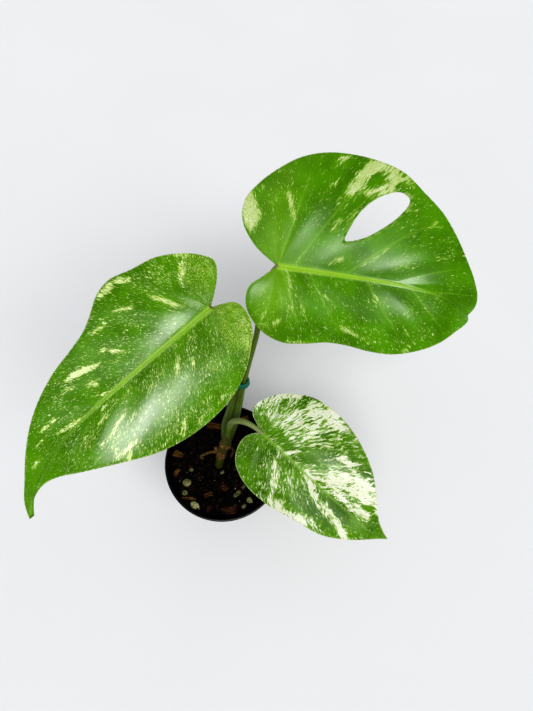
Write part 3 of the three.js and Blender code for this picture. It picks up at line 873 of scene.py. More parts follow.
@cache
def crumb_tree() -> GeometryTree:
    """Scatters misshapen bits over the parts of a surface that face up.

    Returns:
        The tree. Sizes are in metres, Density is in bits for each square metre. Reach is how
        far from the middle they lie, Lie how far they tip, as a share of a half turn.
    """
    tree = GeometryTree(
        "Scattered bits",
        {"Density": 1000.0, "Seed": 1, "Smallest": 0.0004, "Largest": 0.001, "Shape": (1.0, 1.0, 1.0),
         "Detail": 1, "Roughness": 0.3, "Reach": 0.04, "Lie": 0.5},
    )
    g, given = tree.graph, tree.given
    position = g.add("GeometryNodeInputPosition").outputs[0]
    spread = g.add("ShaderNodeVectorMath", {"operation": "LENGTH"}, g.stretched(position, (1.0, 1.0, 0.0)))
    up = g.math("GREATER_THAN", g.axis(g.add("GeometryNodeInputNormal").outputs[0], "Z"), 0.4)
    near = g.math("LESS_THAN", spread.outputs["Value"], given["Reach"])
    points = g.add(
        "GeometryNodeDistributePointsOnFaces", {}, Mesh=given["Geometry"],
        Density=given["Density"], Seed=given["Seed"], Selection=g.times(up, near),
    )
    ball = g.add("GeometryNodeMeshIcoSphere", {}, Radius=1.0, Subdivisions=given["Detail"])
    size = g.add("FunctionNodeRandomValue", {"data_type": "FLOAT"}, Seed=given["Seed"])
    g.put(size.inputs[2], given["Smallest"])
    g.put(size.inputs[3], given["Largest"])
    turn = g.add("FunctionNodeRandomValue", {"data_type": "FLOAT_VECTOR"}, Seed=given["Seed"])
    tip = g.times(given["Lie"], pi)
    back = g.times(tip, -1.0)
    g.put(turn.inputs[0], g.made(X=back, Y=back, Z=-pi))
    g.put(turn.inputs[1], g.made(X=tip, Y=tip, Z=pi))
    bits = g.add(
        "GeometryNodeInstanceOnPoints", {}, Points=points.outputs["Points"], Instance=ball.outputs["Mesh"],
        Rotation=g.add("FunctionNodeEulerToRotation", {}, Euler=turn.outputs[0]).outputs[0],
        Scale=g.scaled(given["Shape"], size.outputs[1]),
    )
    real = g.add("GeometryNodeRealizeInstances", {}, Geometry=bits.outputs[0]).outputs[0]
    push = g.scaled(g.swirl(position, 900.0), g.times(given["Roughness"], given["Largest"]))
    tree.close(g.add("GeometryNodeSetPosition", {}, Geometry=real, Offset=push).outputs[0])
    return tree


@dataclass
class Limb:
    """A line of points with a radius at each, in millimetres."""

    points: Array
    girth: Array
    extra: dict[str, Array] = field(default_factory=dict)

    @classmethod
    def along(cls, path: Path, radii: Sequence[float], count: int) -> "Limb":
        """Limb along a smooth path, with its two ends rounded off.

        Args:
            path: points that it passes through.
            radii: radii spaced evenly along it.
            count: how many rings it gets.

        Returns:
            The limb.
        """
        points = SmoothPath(path).even(count)
        share = np.linspace(0, 1, count)
        girth = np.interp(share, np.linspace(0, 1, len(radii)), radii)
        length = run_lengths(points)
        for left in (length, length[-1] - length):
            inside = np.clip(1 - left / girth, 0, 1)
            girth = girth * np.maximum(np.sqrt(1 - inside**2), 0.05)
        return cls(points, girth, {"along": length})


def lines_object(limbs: Sequence[Limb]) -> Object:
    """Lines of points with their girths, as the swept limb tree takes them.

    Args:
        limbs: the limbs, all with the same extra values.

    Returns:
        An object whose mesh is one chain of edges for each limb.
    """
    points = np.vstack([limb.points for limb in limbs])
    edges, start = [], 0
    for limb in limbs:
        edges += [(start + i, start + i + 1) for i in range(len(limb.points) - 1)]
        start += len(limb.points)
    mesh = bpy.data.meshes.new("lines")
    mesh.from_pydata((points * MM).tolist(), edges, [])
    point_values(mesh, "girth", np.concatenate([limb.girth for limb in limbs]) * MM)
    for key in limbs[0].extra:
        point_values(mesh, key, np.concatenate([limb.extra[key] for limb in limbs]))
    return new_object("lines", mesh)


# Blades

# Largest value of the curve that each midrib follows
SWEEP_PEAK = 0.582


@dataclass(frozen=True)
class Splash:
    """Cream patch: its middle on the blade, its half length and half width, its turn, its strength."""

    u: float
    v: float
    length: float
    width: float
    turn: float
    cream: float

    def _away(self, flat: Array) -> Array:
        """Squared distance from the patch's middle.

        Args:
            flat: u and v of each point.

        Returns:
            The distances, with 1 at the patch's outline.
        """
        turn = radians(self.turn)
        off = flat - [self.u, self.v]
        along = off @ [cos(turn), sin(turn)] / self.length
        across = off @ [-sin(turn), cos(turn)] / self.width
        return along**2 + across**2

    def level(self, flat: Array) -> Array:
        """What the patch adds at points of the blade, with a quick fall at its outline."""
        return 0.64 * self.cream * np.exp(-((self._away(flat) / 1.4) ** 2))

    def soft(self, flat: Array) -> Array:
        """What the patch adds at points of the blade, with a slow fall."""
        return self.cream * np.exp(-self._away(flat))


def patches(*rows: Sequence[float]) -> tuple[Splash, ...]:
    """Patches from rows of their values, in the order of a patch's fields."""
    return tuple(Splash(*row) for row in rows)


def encloses(outline: Array, spot: Array) -> bool:
    """Tells whether a closed outline goes round a place.

    Args:
        outline: points of the outline.
        spot: the place.

    Returns:
        True where it does.
    """
    ahead = np.roll(outline, -1, axis=0)
    crosses = (outline[:, 1] > spot[1]) != (ahead[:, 1] > spot[1])
    slope = (ahead[:, 0] - outline[:, 0]) / np.where(crosses, ahead[:, 1] - outline[:, 1], 1)
    return bool(np.sum(crosses & (spot[0] < outline[:, 0] + slope * (spot[1] - outline[:, 1]))) % 2)


@dataclass
class Blade:
    """One leaf blade in its own axes: u towards the tip, v to the left, n off the upper side."""

    name: str
    finish: LeafFinish
    stalk_point: Point
    tip: Point
    facing: Point
    sweep: float
    bow: float
    hook: float
    fold: tuple[tuple[float, float], tuple[float, float]]
    pleat: float
    waves: float
    wave: float
    left: Path
    right: Path
    veins: tuple[Sequence[float], Sequence[float]]
    cream: tuple[float, float]
    specks: tuple[float, float]
    splashes: Sequence[Splash]
    window: Path = ()
    rib_fade: float = 0.8
    rib_width: float = 1.7
    mottle: tuple[float, float] = (0.2, 0.2)
    mottled: Sequence[Splash] = ()
    limed: Sequence[Splash] = ()
    wax: float = 0.15
    waxed: Sequence[Splash] = ()
    vein_depth: float = 1.0
    speck_fade: float = 0.0
    margin_width: float = 0.4
    flow_size: tuple[float, float] = (330.0, 62.0)
    lobe_share: float = 0.39
    foot_power: float = 1.5
    vein_curve: float = 0.1
    straight_share: float = 0.2
    hook_start: float = 0.8
    wave_shift: float = 0.3
    thickness: float = 0.7
    edge_thickness: float = 0.3
    rows: int = 150
    columns: int = 34
    rib_radius: tuple[float, float] = (2.1, 0.5)
    rib_start: float = 3.5
    rib_tip_width: float = 0.35
    edge_taper: float = 1.1
    fold_softness: float = 1.2

    def __post_init__(self) -> None:
        """Works out the blade's axes."""
        self.origin = np.array(self.stalk_point, float) + PLANT_PLACE
        along = np.array(self.tip, float) + PLANT_PLACE - self.origin
        self.length = float(norm(along))
        self.u_axis = along / self.length
        facing = np.array(self.facing, float)
        facing -= facing @ self.u_axis * self.u_axis
        self.n_axis = facing / norm(facing)
        self.v_axis = np.cross(self.n_axis, self.u_axis)

    def midrib(self, u: Array) -> Array:
        """Sideways place of the midrib at places along the blade."""
        t = u / self.length
        return self.sweep * (t - np.maximum(t, 0) ** 6) / SWEEP_PEAK

    def arch(self, u: Array, v: Array, soften: float = 0.0) -> Array:
        """Height of the upper side without its pleats and waves.

        Args:
            u: places along the blade.
            v: places across it.
            soften: how widely the fold at the midrib is rounded.

        Returns:
            Heights above the blade's plane.
        """
        t = u / self.length
        side = v - self.midrib(u)
        rise = np.where(side >= 0, self.fold[0][0], self.fold[1][0])
        fall = np.where(side >= 0, self.fold[0][1], self.fold[1][1])
        bow = 4 * self.bow * t * (1 - t)
        hook = self.hook * np.maximum(0, (t - self.hook_start) / (1 - self.hook_start)) ** 2
        return bow - hook + rise * (np.sqrt(side**2 + soften**2) - soften) - fall * side**2

    def place(self, u: Array, v: Array, height: Array) -> Array:
        """Points at u, v and a height, in the pot's frame."""
        u, v, height = (np.asarray(a, float)[..., None] for a in (u, v, height))
        return self.origin + u * self.u_axis + v * self.v_axis + height * self.n_axis

    def rib_centre(self, u: float, radius: float) -> Array:
        """Middle of the midrib below the blade, as the solids have it.

        Args:
            u: place along the blade.
            radius: the midrib's radius there.

        Returns:
            The point in the pot's frame.
        """
        v = self.midrib(np.array(u))
        solid_thickness = 0.8
        return self.place(u, v, self.arch(np.array(u), v) - solid_thickness - 0.5 * radius)

    def _rows(self) -> Array:
        """Places of the rows along the margin.

        Returns:
            Shares of the margin, closer together beside the side veins.
        """
        beside = np.linspace(-0.006, 0.006, 7)
        close = [q + step for side in self.veins for q in side for step in beside]
        rows = np.unique(np.round(np.concatenate([np.linspace(0, 1, self.rows), close]), 5))
        rows = rows[(rows >= 0) & (rows <= 1)]
        least_step = 0.0012
        return rows[np.concatenate([[True], np.diff(rows) > least_step])]

    def _columns(self) -> Array:
        """Shares of a row where columns run, closer together at the midrib and the margin."""
        inner = np.linspace(0, 1, self.columns) ** 1.35
        return np.unique(np.concatenate([inner, [0.973, 0.985, 0.993]]))

    def build(self) -> Object:
        """Makes the blade with both of its faces, its ribs, its veins and its marks.

        Returns:
            The blade.
        """
        q, w = self._rows(), self._columns()
        past_lobe = np.maximum(0, (q - self.lobe_share) / (1 - self.lobe_share))
        foot_u = self.length * past_lobe**self.foot_power
        numbers = self._numbers(foot_u, len(w))
        # For each point: u, v, height of pleats and waves, strength of a side vein, half
        grid = np.zeros((numbers.max() + 1, 5))
        for half, points in enumerate(numbers):
            for column, values in enumerate(self._half(half, q, w, foot_u)):
                grid[points.ravel(), column] = values.ravel()
            grid[points.ravel(), 4] = half
        flow = np.stack(np.meshgrid(q * self.flow_size[0], w * self.flow_size[1], indexing="ij"), axis=-1)
        flow = np.concatenate([flow, flow + [500.0, 0.0]]).reshape(-1, 2)
        faces, corners = self._faces(numbers)
        if self.window:
            faces, corners = self._cut_window(faces, corners, grid)
        return self._sheet(faces, corners, grid, flow)

    def _half(self, half: int, q: Array, w: Array, foot_u: Array) -> tuple[Array, ...]:
        """Lays out one half of the blade.

        Args:
            half: 0 for the left half, 1 for the right.
            q: shares of the margin where rows run.
            w: shares of a row where columns run.
            foot_u: where each row leaves the midrib.

        Returns:
            u, v, the height of pleats and waves, and the strength of side veins, by row and column.
        """
        foot_v = self.midrib(foot_u)
        rim = SmoothPath((self.left, self.right)[half]).at(q)
        reach = np.hypot(rim[:, 0] - foot_u, rim[:, 1] - foot_v)
        bend = self.vein_curve * reach * np.minimum(1, foot_u / (self.straight_share * self.length))
        u = foot_u[:, None] + np.outer(rim[:, 0] - foot_u, w) - 2 * np.outer(bend, w * (1 - w))
        v = foot_v[:, None] + np.outer(rim[:, 1] - foot_v, w)
        spread = np.hypot(np.gradient(u, q, axis=0), np.gradient(v, q, axis=0))
        marks = np.array([0, *self.veins[half], 1])
        low = np.clip(np.searchsorted(marks, q, side="right") - 1, 0, len(marks) - 2)
        phase = (q - marks[low]) / (marks[low + 1] - marks[low])
        pleats = self.pleat * np.outer(np.sin(np.pi * phase) ** 2, np.sin(np.pi * w))
        swing = np.sin(2 * np.pi * (self.waves * q + self.wave_shift * half))
        pleats += self.wave * np.outer(swing, w**3)
        pleats *= np.interp(q, (0.25, 0.5), (0.08, 1))[:, None]
        pleats[[0, -1]] = 0
        groove = np.zeros(u.shape)
        for place in self.veins[half]:
            off = (q[:, None] - place) * spread
            fade = np.clip(w / 0.05, 0, 1) * np.clip((0.97 - w) / 0.45, 0, 1)
            fade *= min(1.0, (place / 0.37) ** 3)
            groove = np.maximum(groove, self.vein_depth * np.exp(-((off / (0.9 - 0.4 * w)) ** 2)) * fade)
        return u, v, pleats, groove

    @staticmethod
    def _numbers(foot_u: Array, columns: int) -> Array:
        """Numbers the points of both halves, with shared points counted once.

        Args:
            foot_u: where each row leaves the midrib.
            columns: how many points each row has.

        Returns:
            The number of the point at each half, row and column.
        """
        numbers = np.arange(2 * len(foot_u) * columns).reshape(2, -1, columns)
        numbers[1, :, 0] = numbers[0, :, 0]
        numbers[1, -1] = numbers[0, -1]
        numbers[:, foot_u == 0, 0] = numbers[0, 0, 0]
        numbers[:, 0] = numbers[0, 0, 0]
        return np.unique(numbers, return_inverse=True)[1].reshape(numbers.shape)

    @staticmethod
    def _faces(numbers: Array) -> tuple[Faces, Faces]:
        """Makes the faces of the upper side.

        Args:
            numbers: number of the point at each half, row and column.

        Returns:
            The faces, and for each corner of each face its place in the full grid.
        """
        faces, corners = [], []
        places = np.arange(numbers.size).reshape(numbers.shape)
        for half, i, j in np.ndindex(2, numbers.shape[1] - 1, numbers.shape[2] - 1):
            around = [(half, i, j), (half, i + 1, j), (half, i + 1, j + 1), (half, i, j + 1)]
            if half == 1:
                around.reverse()
            # Where places share a point, only the first of them is a corner
            own = {int(numbers[spot]): int(places[spot]) for spot in reversed(around)}
            face = list(dict.fromkeys(int(numbers[spot]) for spot in around))
            if len(face) > 2:
                faces.append(face)
                corners.append([own[point] for point in face])
        return faces, corners

    def _cut_window(self, faces: Faces, corners: Faces, grid: Array) -> tuple[Faces, Faces]:
        """Leaves out the faces in the window, and draws the points round it on to its edge.

        Args:
            faces: faces of the upper side.
            corners: each face corner's place in the full grid.
            grid: the blade's points, which are moved.

        Returns:
            The faces and corners that stay.
        """
        outline = SmoothPath(self.window, closed=True).at(np.linspace(0, 1, 361)[:-1])
        out = [encloses(outline, grid[face, :2].mean(axis=0)) for face in faces]
        gone = {i for face, cut in zip(faces, out) if cut for i in face}
        kept = [pair for *pair, cut in zip(faces, corners, out) if not cut]
        for i in gone & {i for face, _ in kept for i in face}:
            grid[i, :2] = outline[np.argmin(np.sum((outline - grid[i, :2]) ** 2, axis=1))]
        return [face for face, _ in kept], [corner for _, corner in kept]

    def _sheet(self, faces: Faces, corners: Faces, grid: Array, flow: Array) -> Object:
        """Gives the upper side its heights, its underside and its rounded edge.

        Args:
            faces: faces of the upper side.
            corners: each face corner's place in the full grid.
            grid: the blade's points.
            flow: way across and along the side veins to each place in the full grid.

        Returns:
            The blade.
        """
        used = np.unique([i for face in faces for i in face])
        renumber = np.full(len(grid), -1)
        renumber[used] = np.arange(len(used))
        faces = [[int(renumber[i]) for i in face] for face in faces]
        grid = grid[used]
        flat, count = grid[:, :2], len(grid)
        rim = self._open_edges(faces)
        edge = np.unique(rim)
        gap = np.min(norm(flat[:, None] - flat[None, edge[::2]], axis=2), axis=1)
        rib, top, low = self._heights(grid, gap)
        rounded = flat[edge] + 0.12 * self._outward(flat, rim)[edge]
        middle = self.place(*rounded.T, ((top + low) / 2)[edge])
        at_middle = {int(a): 2 * count + i for i, a in enumerate(edge)}
        points = np.vstack([self.place(*flat.T, top), self.place(*flat.T, low), middle])
        under = [[i + count for i in reversed(face)] for face in faces]
        walls = [[b, a, at_middle[a], at_middle[b]] for a, b in rim]
        walls += [[at_middle[b], at_middle[a], a + count, b + count] for a, b in rim]
        mesh = mesh_from(points, [*faces, *under, *walls])
        kinds = np.repeat([0, 1, 0], [len(faces), len(under), len(walls)])
        mesh.polygons.foreach_set("material_index", kinds)
        near = {i: flow[c] for face, corner in zip(faces, corners) for i, c in zip(face, corner)}
        there = [flow[c] for corner in corners for c in corner]
        there += [flow[c] for corner in corners for c in reversed(corner)]
        there += 2 * [near[spot] for a, b in rim for spot in (b, a, a, b)]
        map_values(mesh, "flow", np.array(there))
        values = {"rib": rib, "edge": np.exp(-((gap / self.margin_width) ** 2)), **self._marks(grid)}
        for name, level in values.items():
            point_values(mesh, name, np.concatenate([level, level, level[edge]]))
        for face in Face:
            mesh.materials.append(self.finish.material(face))
        return new_object(self.name, mesh)

    def _heights(self, grid: Array, gap: Array) -> tuple[Array, Array, Array]:
        """Works out the heights of the two sides, one thickness apart but for the midrib.

        Args:
            grid: the blade's points.
            gap: distance of each point from the edge.

        Returns:
            How much each point lies on the midrib, the upper side's height, and the underside's.
        """
        u, v, relief, groove, _ = grid.T
        t = np.clip(u / self.length, 0, 1)
        side = v - self.midrib(u)
        taper = 0.5 * (self.thickness - self.edge_thickness) * np.exp(-((gap / self.edge_taper) ** 2))
        band = self.rib_width - (self.rib_width - self.rib_tip_width) * t
        band = band * np.clip((u + 2.5) / 2.5, 0.05, 1)
        rib = np.exp(-((side / band) ** 4)) * np.clip((self.rib_fade + 0.12 - t) / 0.35, 0, 1)
        rib -= 0.4 * np.exp(-((side / (0.3 * band)) ** 2)) * rib
        rib *= np.clip((u + 2.5) / 2.0, 0, 1)
        radius = self.rib_radius[0] + (self.rib_radius[1] - self.rib_radius[0]) * t
        keel = 1.5 * radius * np.maximum(0, 1 - (np.abs(side) / radius) ** 2.2) ** 0.7
        keel *= np.clip((u - 0.5) / 3.0, 0, 1) * np.clip((0.96 - t) / 0.1, 0, 1)
        plain = self.arch(u, v, self.fold_softness) + relief
        top = plain + 0.4 * rib - 0.03 * groove - taper
        low = plain - self.thickness - keel - 0.4 * groove * (1 - 0.6 * t) + taper
        return rib, top, low

    def _marks(self, grid: Array) -> dict[str, Array]:
        """Works out the veins' strength, the scar, the marks, the lime tint and the wax.

        Args:
            grid: the blade's points.

        Returns:
            The strength of each at each point, by the name that the mesh keeps it under.
        """
        flat = grid[:, :2]
        u, v, _, groove, half = grid.T

        def level(halves: tuple[float, float], spots: Sequence[Splash] = ()) -> Array:
            """Value of each half at its points, with what the patches add."""
            return np.where(half > 0, halves[1], halves[0]) + sum(patch.level(flat) for patch in spots)

        def soft(start: float, spots: Sequence[Splash]) -> Array:
            """Even value with what the soft patches add, from 0 to 1."""
            return np.clip(np.full(len(flat), start) + sum(patch.soft(flat) for patch in spots), 0, 1)

        to_tip = np.clip((np.clip(u / self.length, 0, 1) - 0.45) / 0.4, 0, 1)
        return {
            "vein": groove,
            "scar": np.exp(-(((u + 1.2) ** 2 + v**2) / 2.2) ** 2),
            "cream": np.clip(level(self.cream, self.splashes), 0, 1.2),
            "specks": level(self.specks) * (1 - self.speck_fade * to_tip),
            "mottle": np.clip(level(self.mottle, self.mottled), 0, 1),
            "lime": soft(0.0, self.limed),
            "wax": soft(self.wax, self.waxed),
        }

    @staticmethod
    def _open_edges(faces: Faces) -> list[tuple[int, int]]:
        """Edges that only one face has, in that face's direction."""
        edges = {(a, b) for face in faces for a, b in zip(face, face[1:] + face[:1])}
        return sorted((a, b) for a, b in edges if (b, a) not in edges)

    @staticmethod
    def _outward(flat: Array, rim: Sequence[tuple[int, int]]) -> Array:
        """Finds the way out of the blade at its edge.

        Args:
            flat: u and v of each point.
            rim: pairs of points along the edge.

        Returns:
            A direction in u and v for each point, with no length away from the edge.
        """
        outward = np.zeros(flat.shape)
        for a, b in rim:
            across = np.array([flat[b][1] - flat[a][1], flat[a][0] - flat[b][0]])
            across /= max(norm(across), 1e-9)
            outward[a] += across
            outward[b] += across
        return outward / np.maximum(norm(outward, axis=1), 1e-9)[:, None]


# Stalks, stem and tie


@dataclass
class Stalk:
    """A leaf stalk up to its blade's midrib."""

    name: str
    path: Path
    radii: Sequence[float]
    blade: Blade
    bent: bool = True
    bend_radius: float = 4.0
    knee_length: float = 14.0
    foot_length: float = 70.0
    sides: int = 28
    rings: int = 150
    groove: float = 0.16

    def centre(self) -> Array:
        """Finds the stalk's path, on to the midrib.

        Returns:
            One row for each point that it passes through.
        """
        start, gap = self.blade.rib_start, 0.3
        end = self.blade.rib_centre(start - gap, self.blade.rib_radius[0])
        path = np.array(self.path, float) + PLANT_PLACE
        if not self.bent:
            return np.vstack([path, end])
        rise = end - path[-1] - self.bend_radius * self.blade.u_axis
        rise /= norm(rise)
        bend = [
            end + self.bend_radius * ((sin(turn) - 1) * rise - cos(turn) * self.blade.u_axis)
            for turn in (0, pi / 4, pi / 2)
        ]
        return np.vstack([path, bend])

    def build(self) -> Object:
        """Sweeps the stalk and gives it its skin.

        Returns:
            The stalk.
        """
        limb = Limb.along(self.centre(), self.radii, self.rings)
        length = limb.extra["along"]
        limb.extra["knee"] = np.clip(1 - (length[-1] - length) / self.knee_length, 0, 1) ** 0.6
        limb.extra["foot"] = np.clip(1 - length / self.foot_length, 0, 1)
        skin = StalkFinish(self.name).material()
        lines = lines_object([limb])
        return limb_tree().run(lines, self.name, skin, Sides=self.sides, Groove=self.groove)


@dataclass
class Stem:
    """Climbing stem with its node ring, cut stub, aerial roots and buried roots."""

    path: Path = ((-6, -4, 52), (-4.2, 0, 80), (-1, 7.2, 95), (3.8, 13.5, 110), (6.2, 19.4, 121))
    radii: Sequence[float] = (2.6, 3.3, 3.8, 4.6, 4.7)
    node_at: float = 0.79
    node_swell: float = 0.5
    stub: Path = ((-1, 7, 92), (-4.6, 10.2, 94.4), (-7, 12.8, 96))
    stub_radii: Sequence[float] = (2.3, 2.1, 1.6)
    aerial: Sequence[Path] = (
        ((-1, 7, 91), (-7, 9.8, 90.5), (-14, 9.2, 88), (-19.4, 7, 84.6), (-11.6, 4.8, 76)),
        ((0, 8, 94), (5, 12.6, 92.5), (8.3, 12.4, 87), (5.6, 7, 80.5), (2.4, 3, 70)),
    )
    aerial_radii: Sequence[float] = (1.5, 1.0)
    buried_turns: Sequence[float] = (50, 140, 230, 320)
    buried_reach: float = 26.0
    buried_heights: Sequence[float] = (60, 48, 20)
    buried_shares: Sequence[float] = (0, 0.45, 1)
    buried_radii: Sequence[float] = (1.7, 0.9)
    voxel: float = 0.38
    rings: int = 90
    sides: int = 20

    def _limbs(self) -> list[Limb]:
        """Lays out the stem's limbs.

        Returns:
            The main one, the stub, the aerial roots and the buried roots.
        """
        def grown(path: Path, radii: Sequence[float], count: int) -> Limb:
            """A limb in the pot's frame."""
            return Limb.along(np.array(path, float) + PLANT_PLACE, radii, count)

        main = grown(self.path, self.radii, self.rings)
        share = np.linspace(0, 1, self.rings)
        old_node, old_swell = 0.55, 0.25
        main.girth += self.node_swell * np.exp(-(((share - self.node_at) / 0.02) ** 2))
        main.girth += old_swell * np.exp(-(((share - old_node) / 0.015) ** 2))
        limbs = [main, grown(self.stub, self.stub_radii, 16)]
        limbs += [grown(path, self.aerial_radii, 60) for path in self.aerial]
        x, y, _ = self.path[0]
        for turn in np.radians(self.buried_turns):
            path = []
            for part, height in zip(self.buried_shares, self.buried_heights):
                reach = part * self.buried_reach
                path.append((x + reach * cos(turn), y + reach * sin(turn), height))
            limbs.append(grown(path, self.buried_radii, 50))
        return limbs

    @staticmethod
    def _gap(at: Array, limb: Limb) -> Array:
        """Distance of points from a limb's skin."""
        off = norm(at[:, None] - limb.points[None, ::2], axis=2)
        return np.min(off - limb.girth[None, ::2], axis=1)

    def build(self) -> Object:
        """Grows the limbs together, smooths them and gives them their skin.

        Returns:
            The stem.
        """
        limbs = self._limbs()
        finish = StemFinish("stem_skin").material()
        raw = limb_tree().run(lines_object(limbs), "stem_limbs", finish, Sides=self.sides, Groove=0.0)
        remesh = raw.modifiers.new("join", "REMESH")
        remesh.mode = "VOXEL"
        remesh.voxel_size = self.voxel * MM
        remesh.use_smooth_shade = True
        smooth = raw.modifiers.new("ease", "SMOOTH")
        smooth.factor = 0.5
        smooth.iterations = 4
        piece = finished(raw, "climbing_stem")
        mesh = piece.data
        at = np.empty(len(mesh.vertices) * 3, np.float32)
        mesh.vertices.foreach_get("co", at)
        at = at.reshape(-1, 3) / MM
        main, stub, *roots = (self._gap(at, limb) for limb in limbs)
        blend = 0.8
        own, other = np.minimum(main, stub), np.min(roots, axis=0)
        point_values(mesh, "root", np.clip(0.5 + (own - other) / blend, 0, 1))
        rings = limbs[0].points
        place = np.argmin(norm(at[:, None] - rings[None], axis=2), axis=1) / (len(rings) - 1)
        cork = np.exp(-(((place - self.node_at) / 0.035) ** 2))
        cork += 0.75 * np.clip((self.node_at - place) / 0.2, 0, 1) * np.clip((place - 0.5) / 0.1, 0, 1)
        point_values(mesh, "cork", np.clip(cork, 0, 1))
        mesh.materials.clear()
        mesh.materials.append(finish)
        return piece


@dataclass
class Tie:
    """Soft strip wound once round the two tall stalks, with its free end lying on it."""

    height: float = 165.0
    width: float = 5.0
    thickness: float = 0.8
    inner_radius: float = 3.2
    axis: Point = (-0.1, 0.25, 0.96)
    steps: int = 140
    start: float = 0.15
    winds: float = 1.16
    # Shares of half the width and half the thickness, round the strip's section
    section: Sequence[tuple[float, float]] = (
        (-1, -0.5), (-1, 0.5), (-0.92, 1), (0, 1.12), (0.92, 1),
        (1, 0.5), (1, -0.5), (0.92, -1), (0, -0.88), (-0.92, -1),
    )

    def _winding(self, stalks: Sequence[Stalk], up: Array) -> Array:
        """Finds the way of the strip in an oval round the stalks, with its end on its start.

        Args:
            stalks: the two stalks that it holds.
            up: the way along the stalks.

        Returns:
            One row for each step.
        """
        held = [next(spot for spot in stalk.path if spot[2] == self.height) for stalk in stalks]
        first, second = (np.array(spot, float) + PLANT_PLACE for spot in held)
        half_span = norm(first - second) / 2
        side = np.cross(up, first - second)
        side /= norm(side)
        turns = np.linspace(self.start, self.start + 2 * pi * self.winds, self.steps)
        lift = np.clip((turns - turns[0] - 2 * pi + 0.5) / 0.8, 0, 1)
        radius = self.inner_radius + self.thickness / 2 + lift * (self.thickness + 0.05)
        x = half_span * np.tanh(3.0 * np.cos(turns)) + radius * np.cos(turns)
        path = (first + second) / 2 + np.outer(x, np.cross(side, up))
        path += np.outer(radius * np.sin(turns), side)
        return path + np.outer(0.25 * np.sin(2 * turns + 0.6) + 0.5 * lift, up)

    def build(self, stalks: Sequence[Stalk]) -> Object:
        """Winds the strip round the stalks.

        Args:
            stalks: the two stalks that it holds.

        Returns:
            The strip.
        """
        up = np.array(self.axis, float) / norm(self.axis)
        path = self._winding(stalks, up)
        ahead = np.gradient(path, axis=0)
        ahead /= norm(ahead, axis=1)[:, None]
        off = np.cross(ahead, up)
        off /= norm(off, axis=1)[:, None]
        section = np.array(self.section) * (self.width / 2, self.thickness / 2)
        points = np.concatenate([[p + h * up + d * o for h, d in section] for p, o in zip(path, off)])
        n, m = len(path), len(section)
        faces = []
        for i in range(n - 1):
            a, b = i * m, (i + 1) * m
            faces += [[a + j, b + j, b + (j + 1) % m, a + (j + 1) % m] for j in range(m)]
        faces += [list(range(m)), [(n - 1) * m + j for j in reversed(range(m))]]
        mesh = mesh_from(points, faces, 50)
        bm = bmesh.new()
        bm.from_mesh(mesh)
        bmesh.ops.recalc_face_normals(bm, faces=bm.faces)
        bm.to_mesh(mesh)
        bm.free()
        run = run_lengths(path)
        corners = [divmod(loop.vertex_index, m) for loop in mesh.loops]
        map_values(mesh, "strip", np.array([(run[i], section[j][0]) for i, j in corners]))
        return new_object("soft_tie", mesh, TieFinish().material())


# Pot and mix


def turned_faces(rings: int, sides: int) -> Faces:
    """Faces of a closed shell made of rings of points between two poles.

    Args:
        rings: how many rings there are.
        sides: how many points each ring has.

    Returns:
        The faces. The poles are the first point and the last.
    """
    faces = [[0, 1 + (j + 1) % sides, 1 + j] for j in range(sides)]
    for i in range(rings - 1):
        a = 1 + i * sides
        b = a + sides
        faces += [[a + j, a + (j + 1) % sides, b + (j + 1) % sides, b + j] for j in range(sides)]
    last = 1 + (rings - 1) * sides
    faces += [[last + j, last + (j + 1) % sides, last + sides] for j in range(sides)]
    return faces


def taken_apart(solid: bmesh.types.BMesh) -> tuple[Array, Faces]:
    """Takes the points and faces out of a shape, and frees it.

    Args:
        solid: the shape.

    Returns:
        One row for each point, and the point numbers round each face.
    """
    points = np.array([vertex.co[:] for vertex in solid.verts])
    faces = [[vertex.index for vertex in face.verts] for face in solid.faces]
    solid.free()
    return points, faces


